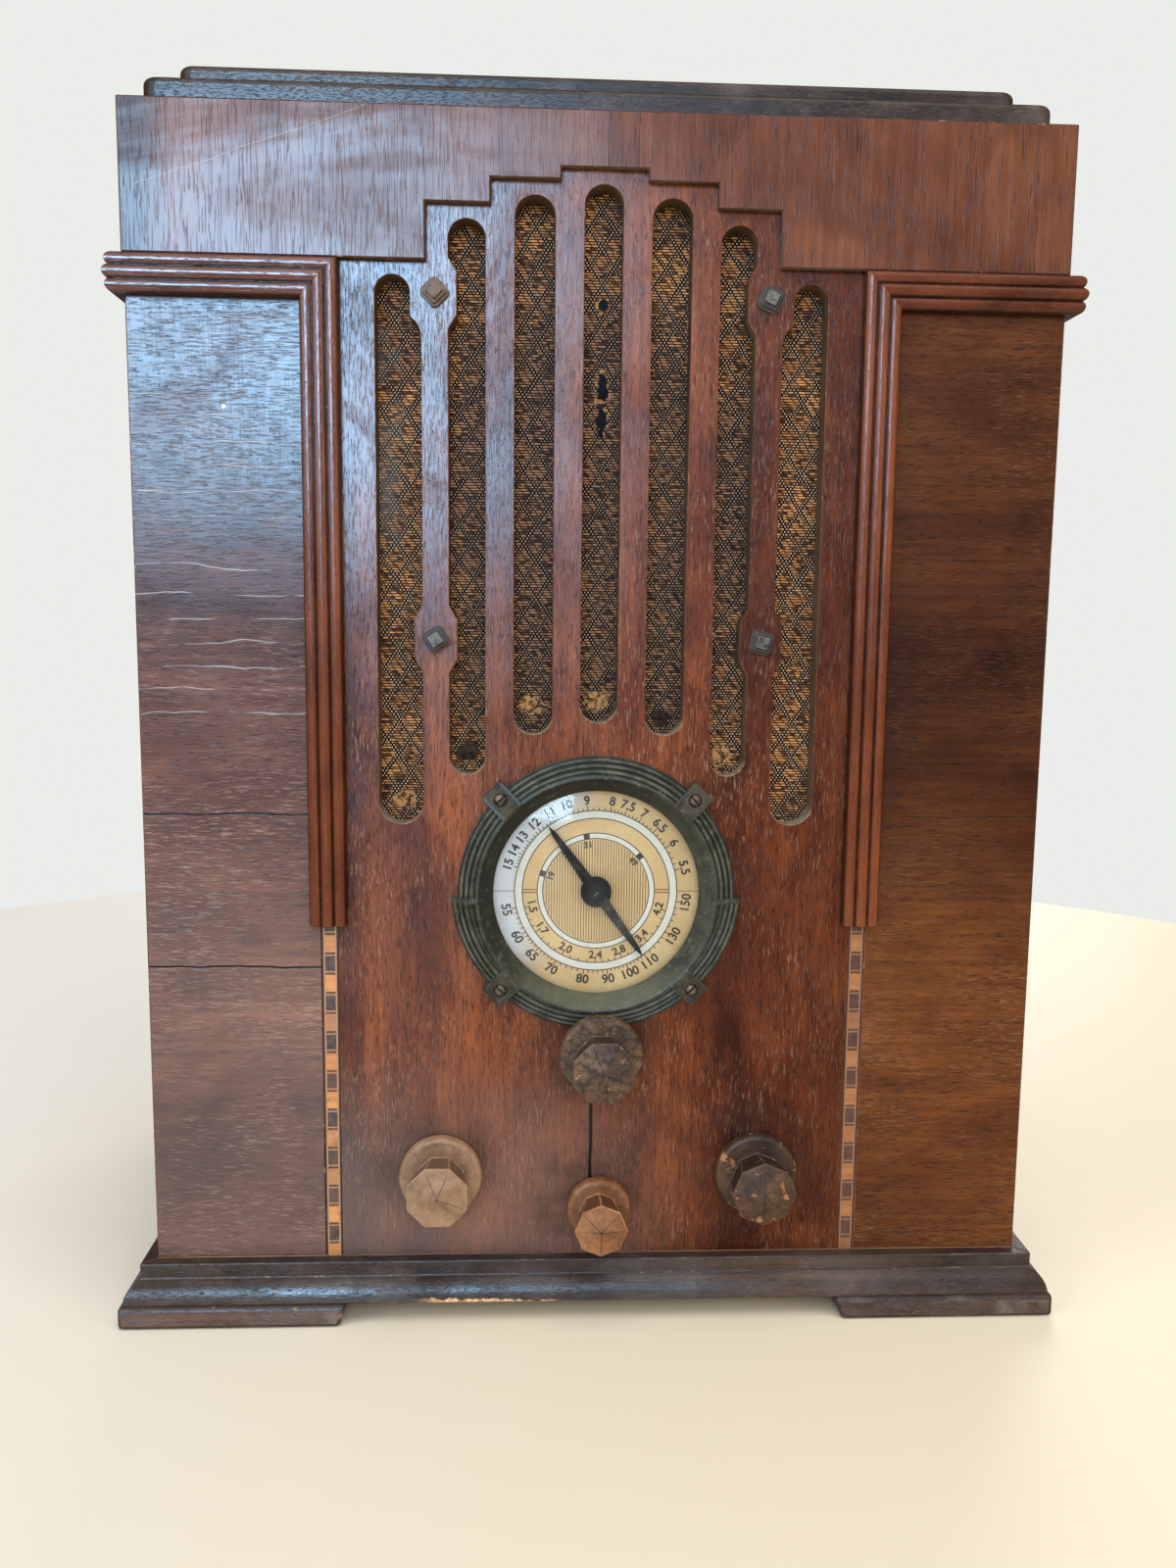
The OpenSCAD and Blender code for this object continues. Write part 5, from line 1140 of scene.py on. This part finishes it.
# %% Dial glass and valve glass
def glass(name, tint, shine, mirror_above=None):
    """mirror_above is the height from which a silvery film coats the inside."""
    f = Finish(name)
    film = f.noise(90, 4, 0.6).step(0.45, 0.8) * 0.10
    clear = f.shader("BsdfTransparent", {"Color": tint})
    gloss = f.shader("BsdfGlossy", {"Color": shade((1, 1, 1), shine), "Roughness": 0.06})
    haze = f.shader("BsdfDiffuse", {"Color": (0.55, 0.52, 0.47)})
    facing = f.add("ShaderNodeLayerWeight", {}, {"Blend": 0.5}, "Facing")
    pane = f.blend(facing ** 4 * 0.55 + 0.025, clear, gloss)
    pane = f.blend(film, pane, haze)
    if mirror_above is not None:
        silver = f.principled((0.17, 0.16, 0.15), 0.2, metallic=0.9)
        coated = (f.z + f.noise(60, 3) * (8 * mm)).step(mirror_above, mirror_above + 8 * mm) * 0.9
        pane = f.blend(coated, pane, silver)
    return f.show(pane)


GLASS_SMOOTH = 60
glass_top = loose_boxes("valve_bulbs")[-1][1].z
dial_pane = glass("dial_glass", (0.97, 0.97, 0.95), 0.28)
valve_pane = glass("valve_glass", (0.88, 0.90, 0.90), 0.8, glass_top - 12 * mm)
for node, finishes in (("dial_glass", [dial_pane]), ("valve_bulbs", [valve_pane, steel])):
    pane = settle(solid_mesh(node), node + "_finished", GLASS_SMOOTH)
    add_piece(node + "_finished", pane, finishes, body_of_node[node], [node])
    for face in pane.polygons:
        if node == "valve_bulbs" and face.center.z > glass_top + 0.2 * mm:
            face.material_index = 1
print("glass pieces: 2, valve glass up to z =", round(glass_top, 4))

# %% [markdown]
# ## Inside the valves, and what holds things down
# Under each glass stands a dark metal drum between two discs of mica, on a short stem. Rivets hold the
# sockets and nuts hold the sheets of the mains transformer. All of them are stamps: only their places are
# worked out here.

# %% Stamp the valve works, rivets and nuts
UPRIGHT, LYING, ONE = (0, 0, 0), (math.pi / 2, 0, 0), (mm, mm, mm)
RIVET_RADIUS = 15.7 * mm
drums, discs, stems, rods, rivets, nuts = [], [], [], [], [], []
for low, high in loose_boxes("valve_bases"):
    x, y = (low.x + high.x) / 2, (low.y + high.y) / 2
    drums.append(((x, y, high.z + 32 * mm), UPRIGHT, (15, 15, 25)))
    discs += [((x, y, high.z + h * mm), UPRIGHT, (wide, wide, 0.5)) for h, wide in ((18.5, 24), (46, 21))]
    stems.append(((x, y, high.z + 7 * mm), UPRIGHT, (9, 6, 14)))
    rods += [((x + side * 9 * mm, y, high.z + 31 * mm), UPRIGHT, (0.9, 0.9, 33)) for side in (-1, 1)]
for low, high in loose_boxes("valve_sockets"):
    middle = (low + high) / 2
    for turn in (math.radians(35), math.radians(215)):
        x, y = middle.x + RIVET_RADIUS * math.cos(turn), middle.y + RIVET_RADIUS * math.sin(turn)
        rivets.append(((x, y, high.z), UPRIGHT, (2.3, 2.3, 1.4)))
for x in (core_low.x + 5.5 * mm, core_high.x - 5.5 * mm):
    for z in (core_low.z + 5 * mm, core_high.z - 4.5 * mm):
        for y, out in ((core_low.y, -1), (core_high.y, 1)):
            nuts.append(((x, y + out * 1.4 * mm, z), LYING, (6.6, 6.6, 2.8)))
            nuts.append(((x, y + out * 2.4 * mm, z), LYING, (3.2, 3.2, 4.8)))
dark_nickel = metal("dark_nickel", (0.085, 0.083, 0.080), (0.16, 0.15, 0.14), 0.3, 0.5, 0.5, (1, 1, 0.1))
mica = stuff("mica", (0.42, 0.40, 0.36), (0.58, 0.56, 0.51), 0.3)
cloudy = stuff("stem_glass", (0.30, 0.31, 0.30), (0.48, 0.49, 0.47), 0.15)
for name, tree, made_at, finish, kin in (
        ("valve_drums", drum_stamp, drums, dark_nickel, "valve_bulbs"),
        ("valve_discs", drum_stamp, discs, mica, "valve_bulbs"),
        ("valve_stems", drum_stamp, stems, cloudy, "valve_bulbs"),
        ("valve_rods", drum_stamp, rods, steel, "valve_bulbs"),
        ("socket_rivets", dome_stamp, rivets, brass, "chassis_bolts"),
        ("transformer_nuts", nut_stamp, nuts, steel, "chassis_bolts")):
    stamp(name, tree, made_at, ONE, finish)
print("valves:", len(drums), "rivets:", len(rivets), "nuts:", len(nuts) // 2)

# %% [markdown]
# ## Grille cloth
# The cloth is one stretched sheet behind the slots, with a scoop cut out for the dial. Its weave has gold
# bars of floating thread on a dark ground, tied down along a lattice of diamonds, where only dots of gold
# show. Rows and lattice wander a little, as in old cloth, and soot has darkened it in front of the cone.

# %% Weave
ROW, DOT, FLOAT, DIAMOND_W, DIAMOND_H = 1.0, 1.3, 2.4, 9.6, 13.5
GROUND = (0.005, 0.004, 0.003)
f = Finish("grille_cloth_weave")
col = f.x + (f.noise(18, 3, 0.5) - 0.5) * (1.8 * mm) + (f.noise(150, 2) - 0.5) * (1.3 * mm)
row = f.z + (f.noise(23, 2, 0.5) - 0.5) * (1.4 * mm)
lines = row * (1000 / ROW)
bar = abs(lines.fract() - 0.5).step(0.38, 0.20)
slack = (f.noise(75, 3, 0.6) - 0.5) * 0.35
slant_up = col / (DIAMOND_W * mm) + row / (DIAMOND_H * mm) + slack
slant_down = col / (DIAMOND_W * mm) - row / (DIAMOND_H * mm) + slack * 0.7
lattice = abs(slant_up.fract() - 0.5).least(abs(slant_down.fract() - 0.5)).step(0.15, 0.09)
seam = abs((slant_up * 3).fract() - 0.5).step(0.13, 0.05) * 0.85
float_number = (col * (1000 / FLOAT) + lines.floor() * 0.37).floor()
cell = f.add("ShaderNodeCombineXYZ", {}, {"X": float_number, "Y": lines.floor()})
luck = f.add("ShaderNodeTexWhiteNoise", {"noise_dimensions": "2D"}, {"Vector": cell})
dots = abs((col * (1000 / DOT) + lines.floor() * 0.5).fract() - 0.5).step(0.20, 0.09) * bar * lattice
gold = bar * (1 - lattice) * (1 - seam) * (luck.step(0.05, 0.75) * 0.88 + 0.12)
sooty_x, sooty_z = f.x / (60 * mm), (f.z - panel_z - 283 * mm) / (88 * mm)
clean = (sooty_x * sooty_x + sooty_z * sooty_z + (f.noise(24, 4, 0.6) - 0.5) * 2.2).step(0.7, 1.5)
worn = f.noise(60, 4, 0.65).step(0.38, 0.64)
thread = f.mix(clean, (0.43, 0.225, 0.115), f.mix(worn, (0.52, 0.235, 0.085), (0.94, 0.455, 0.155)))
bright = f.mix(clean, (0.62, 0.40, 0.26), (0.95, 0.62, 0.37))
weave = f.mix(dots, f.mix(gold, GROUND, thread), bright)
stain = f.x.step(-0.070, -0.079) * f.noise(30, 4, 0.6).step(0.40, 0.62) * f.climb(250, 300)
weave = f.mix(stain * 0.5, weave, (0.11, 0.14, 0.155))
print("weave: rows", ROW, "mm, diamonds", DIAMOND_W, "x", DIAMOND_H, "mm")

# %% [markdown]
# Moths and fingers have been at it: fluff and burnt tufts at the lower ends of the slots, and three holes
# in the middle. Each is an oval with a ragged edge; the numbers are its place and half its size, in mm.

# %% Tears and fluff
FLUFF, BURNT, HOLE = (0.60, 0.33, 0.13), (0.050, 0.028, 0.015), (0.002, 0.002, 0.002)
TUFTS = ((-74.7, 182, 5.0, 4.0, FLUFF), (-49.7, 201, 5.0, 4.5, BURNT), (-25.5, 219, 5.2, 3.8, FLUFF),
         (0, 221, 5.0, 4.2, FLUFF), (25, 215, 4.0, 4.4, BURNT), (48.5, 200, 4.2, 4.2, FLUFF))
HOLES = ((0.6, 368, 2.0, 2.2), (0.4, 337.5, 2.0, 6.2), (0.4, 326, 2.0, 5.4))


def ragged_oval(f, x, z, half_wide, half_high):
    """Distance from the middle of a torn spot: 1 on its edge, which wanders."""
    across, up = (f.x - x * mm) / (half_wide * mm), (f.z - panel_z - z * mm) / (half_high * mm)
    return (across * across + up * up).root() + (f.noise(330, 4, 0.7) - 0.5) * 2.2


for *oval, paint in TUFTS:
    hairs = f.mix(f.noise(420, 4, 0.75).step(0.44, 0.54), shade(paint, 0.10), paint)
    weave = f.mix(ragged_oval(f, *oval).step(1.0, 0.85) * 0.92, weave, hairs)
for oval in HOLES:
    away = ragged_oval(f, *oval)
    weave = f.mix(away.step(1.7, 1.2) * f.noise(500, 2).step(0.5, 0.6) * 0.8, weave, FLUFF)
    weave = f.mix(away.step(1.05, 0.85), weave, HOLE)
weave_finish = f.done(weave, 0.75 - gold * 0.25, f.bump(gold.most(dots), 0.5, 0.0004), shine=0.1)
print("tufts:", len(TUFTS), "holes:", len(HOLES))

# %% [markdown]
# The sheet itself is a fine grid with a slight ripple, since old cloth slackens. The points inside the
# scoop are taken out, and those along its edge are drawn in to a clean circle.

# %% The stretched sheet
SCOOP, RIPPLE = 58 * mm, 0.10 * mm
low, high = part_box("grille_cloth")
cloth_y = (low.y + high.y) / 2
bm = bmesh.new()
bmesh.ops.create_grid(bm, x_segments=90, y_segments=124, size=0.5)
for v in bm.verts:
    x, z = low.x + (v.co.x + 0.5) * (high.x - low.x), low.z + (v.co.y + 0.5) * (high.z - low.z)
    ripple = RIPPLE * math.sin(x * 310 + z * 47) * math.sin(z * 120 - x * 60)
    v.co = (x, cloth_y + ripple, z)
gone = [v for v in bm.verts if math.hypot(v.co.x - dial_x, v.co.z - dial_z) < SCOOP]
bmesh.ops.delete(bm, geom=gone, context="VERTS")
for v in bm.verts:
    away = math.hypot(v.co.x - dial_x, v.co.z - dial_z)
    if v.is_boundary and away < SCOOP + 4 * mm:
        v.co.x = dial_x + (v.co.x - dial_x) * SCOOP / away
        v.co.z = dial_z + (v.co.z - dial_z) * SCOOP / away
cloth_area = sum(face.calc_area() for face in bm.faces)
cloth = add_piece("grille_cloth_sheet", settle(bm, "grille_cloth_sheet"), [weave_finish],
                  replaces=["grille_cloth"])
print("cloth area", round(cloth_area, 5), "of", round((high.x - low.x) * (high.z - low.z), 5))

# %% [markdown]
# ## Knobs
# Four turned knobs with eight-sided heads, each aged in its own way: bare tan, orange, crusted dark brown,
# and dark with the paint broken away. Radial checks open on the end grain of the face. Fingers rub the rim
# of the flange bare before any other edge. The flanks and the corner behind the head are darker, with dirt
# and painted shade.

# %% Knob finishes
CROWN, HEAD = 2 * mm, 18.5 * mm
RUBBED, UNDER_PAINT = (0.46, 0.31, 0.18), (0.42, 0.19, 0.07)


def knob_wood(node, centre, tones, crust, chips, checks, corner, seed):
    f = Finish(node + "_wood")
    dark = tones[0]
    across, up, radius = f.around(centre.x, centre.z)
    grain = f.noise(260, 4, 0.6, 0.3, f.stretched((1, 0.12, 1), seed))
    figure = f.noise(70, 4, 0.6, 0.5, f.stretched((1, 0.3, 1), seed + 1))
    colour = f.ramp(figure * 0.65 + grain * 0.35, list(zip((0.34, 0.5, 0.66), tones)))
    crusted = f.noise(420, 5, 0.7, 0.0, f.stretched((1, 1, 1), seed + 2)).step(0.45, 0.62) * crust
    colour = f.mix(crusted, colour, shade(dark, 0.45))
    broken = f.noise(120, 5, 0.72, 0.4, f.stretched((1, 1, 1), seed + 3))
    chipped = broken.step(0.66 - 0.2 * chips, 0.69 - 0.2 * chips) * (1.0 if chips > 0 else 0.0)
    colour = f.mix(chipped * 0.9, colour, UNDER_PAINT)
    eighth = up.angle(across) * (4 / math.pi) + corner
    gap = abs(eighth.fract() - 0.5) * radius * (math.pi / 4)
    luck = f.add("ShaderNodeTexWhiteNoise", {"noise_dimensions": "1D"}, {"W": eighth.floor() + seed})
    check = gap.step(0.26 * mm, 0.05 * mm) * luck.step(0.1, 0.7) * radius.step(11 * mm, 7 * mm)
    check = check.most(radius.step(0.9 * mm, 0.4 * mm)) * checks
    colour = f.mix(check, colour, shade(dark, 0.3))
    crown_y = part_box(node)[0].y + CROWN
    foot_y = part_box(node)[0].y + HEAD
    # Flanks and the corner behind the head: dirt and painted shade.
    flank = f.y.step(crown_y, crown_y + 1.5 * mm) * f.y.step(foot_y + 0.1 * mm, foot_y - 0.6 * mm)
    corner_dirt_and_shade = f.y.step(foot_y - 0.6 * mm, foot_y) * radius.step(13.5 * mm, 9.5 * mm) * 0.6
    colour = f.mix(flank.most(corner_dirt_and_shade) * 0.72, colour, shade(dark, 0.55))
    height = grain * 0.4 + crusted * 0.8 - chipped * 0.6 - check * 1.6
    return f.done(colour, figure * 0.2 + 0.42 + crusted * 0.2, f.bump(height, 0.5, 0.0004), shine=0.25)


def rim_wear(node, centre, share):
    rim = (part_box(node)[1].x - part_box(node)[0].x) / 2

    def wear(f):
        radius = f.around(centre.x, centre.z)[2]
        bared = radius.step(rim - 2.4 * mm, rim - 1.2 * mm) * f.noise(260, 4, 0.7).step(0.36, 0.56) * share
        return [(bared, RUBBED, 0.0)]
    return wear


# %% [markdown]
# Each knob has its tones, then how much crust, chips and checks it shows, where its corners stand and how
# far the rim is worn.

# %% Finish the knobs
TAN = ((0.18, 0.095, 0.048), (0.31, 0.185, 0.106), (0.42, 0.27, 0.165))
ORANGE = ((0.13, 0.046, 0.016), (0.27, 0.112, 0.040), (0.42, 0.20, 0.080))
CRUSTED = ((0.045, 0.022, 0.011), (0.11, 0.060, 0.030), (0.22, 0.130, 0.070))
DARK = ((0.030, 0.014, 0.006), (0.075, 0.036, 0.015), (0.14, 0.072, 0.030))
KNOBS = {"volume": (TAN, 0.15, 0.0, 0.7, 0.0, 0.3, 1.0), "band": (ORANGE, 0.3, 0.0, 0.8, 0.5, 0.3, 2.0),
         "tuning": (CRUSTED, 0.75, 0.30, 0.7, 0.0, 0.8, 3.0), "tone": (DARK, 0.3, 0.4, 0.6, 0.5, 0.9, 4.0)}
for name, (tones, crust, chips, checks, corner, wear, seed) in KNOBS.items():
    node, centre = name + "_knob", joint_at[name + "_turn"]
    body = knob_wood(node, centre, tones, crust, chips, checks, corner, seed)
    edge = wood(node + "_edge", "y", [shade(t, 1.4) for t in tones], seed, 0.2, 0.3, 0.8, wear=0.25,
                gloss=0.5, bare=RUBBED, marks=rim_wear(node, centre, wear))
    soften(node, [body, edge], 0.4 * mm, facets=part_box(node)[0].y + 1.9 * mm)
print("knobs finished:", len(KNOBS))

# %% [markdown]
# ## Inlay
# Two bands of pieced veneer run down beside the stiles: light blocks and dark blocks in turn, pairs of thin
# dark lines between them, and a light line on each side. A band is one pattern that repeats along z, with a
# number for each repeat, by which no two blocks are quite alike.

# %% Inlay pattern
REPEAT, HALF_BAND = 15.7, 3.1 * mm
f = Finish("inlay_bands")
band_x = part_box("inlay_strips")[1].x - HALF_BAND
away = abs(abs(f.x) - band_x) / HALF_BAND
right_band = f.x.step(-0.01, 0.01)
place = (f.z - panel_z) * (1000 / REPEAT) + 0.12
run, number = place.fract(), place.floor()
chance = f.add("ShaderNodeTexWhiteNoise", {"noise_dimensions": "1D"}, {"W": number + right_band * 37})
grain = f.noise(300, 4, 0.6, 0.0, f.stretched((0.15, 1, 1))).step(0.3, 0.7)
orange = f.mix(grain, (0.46, 0.165, 0.040), (0.66, 0.29, 0.085))
orange = f.mix(chance.step(0.55, 1.0) * 0.6, orange, (0.30, 0.14, 0.07))
dark_block = f.mix(f.noise(300, 4, 0.6).step(0.3, 0.7), (0.035, 0.016, 0.010), (0.115, 0.055, 0.033))
dark_block = f.mix(chance.step(0.5, 0.0) * 0.5, dark_block, (0.13, 0.055, 0.030))
strip = f.mix(run.step(0.425, 0.435), orange, dark_block)
for low, high in ((0.487, 0.525), (0.905, 0.943)):
    thin_line = run.step(low - 0.008, low + 0.008) * run.step(high + 0.008, high - 0.008)
    strip = f.mix(thin_line, strip, (0.40, 0.19, 0.08))
strip = f.mix(away.step(0.60, 0.64), strip, (0.44, 0.21, 0.08))
strip = f.mix(away.step(0.80, 0.84), strip, (0.012, 0.007, 0.005))
strip = f.mix(right_band * 0.42, strip, (0.075, 0.012, 0.0))
worn = f.noise(260, 4, 0.65)
strip = f.mix(worn.step(0.56, 0.74) * 0.5, strip, (0.06, 0.03, 0.02))
dress("inlay_strips", f.done(strip, worn * 0.3 + 0.3, f.bump(worn, 0.25, 0.0003)))
print("inlay centre at x =", round(band_x, 5))

# %% [markdown]
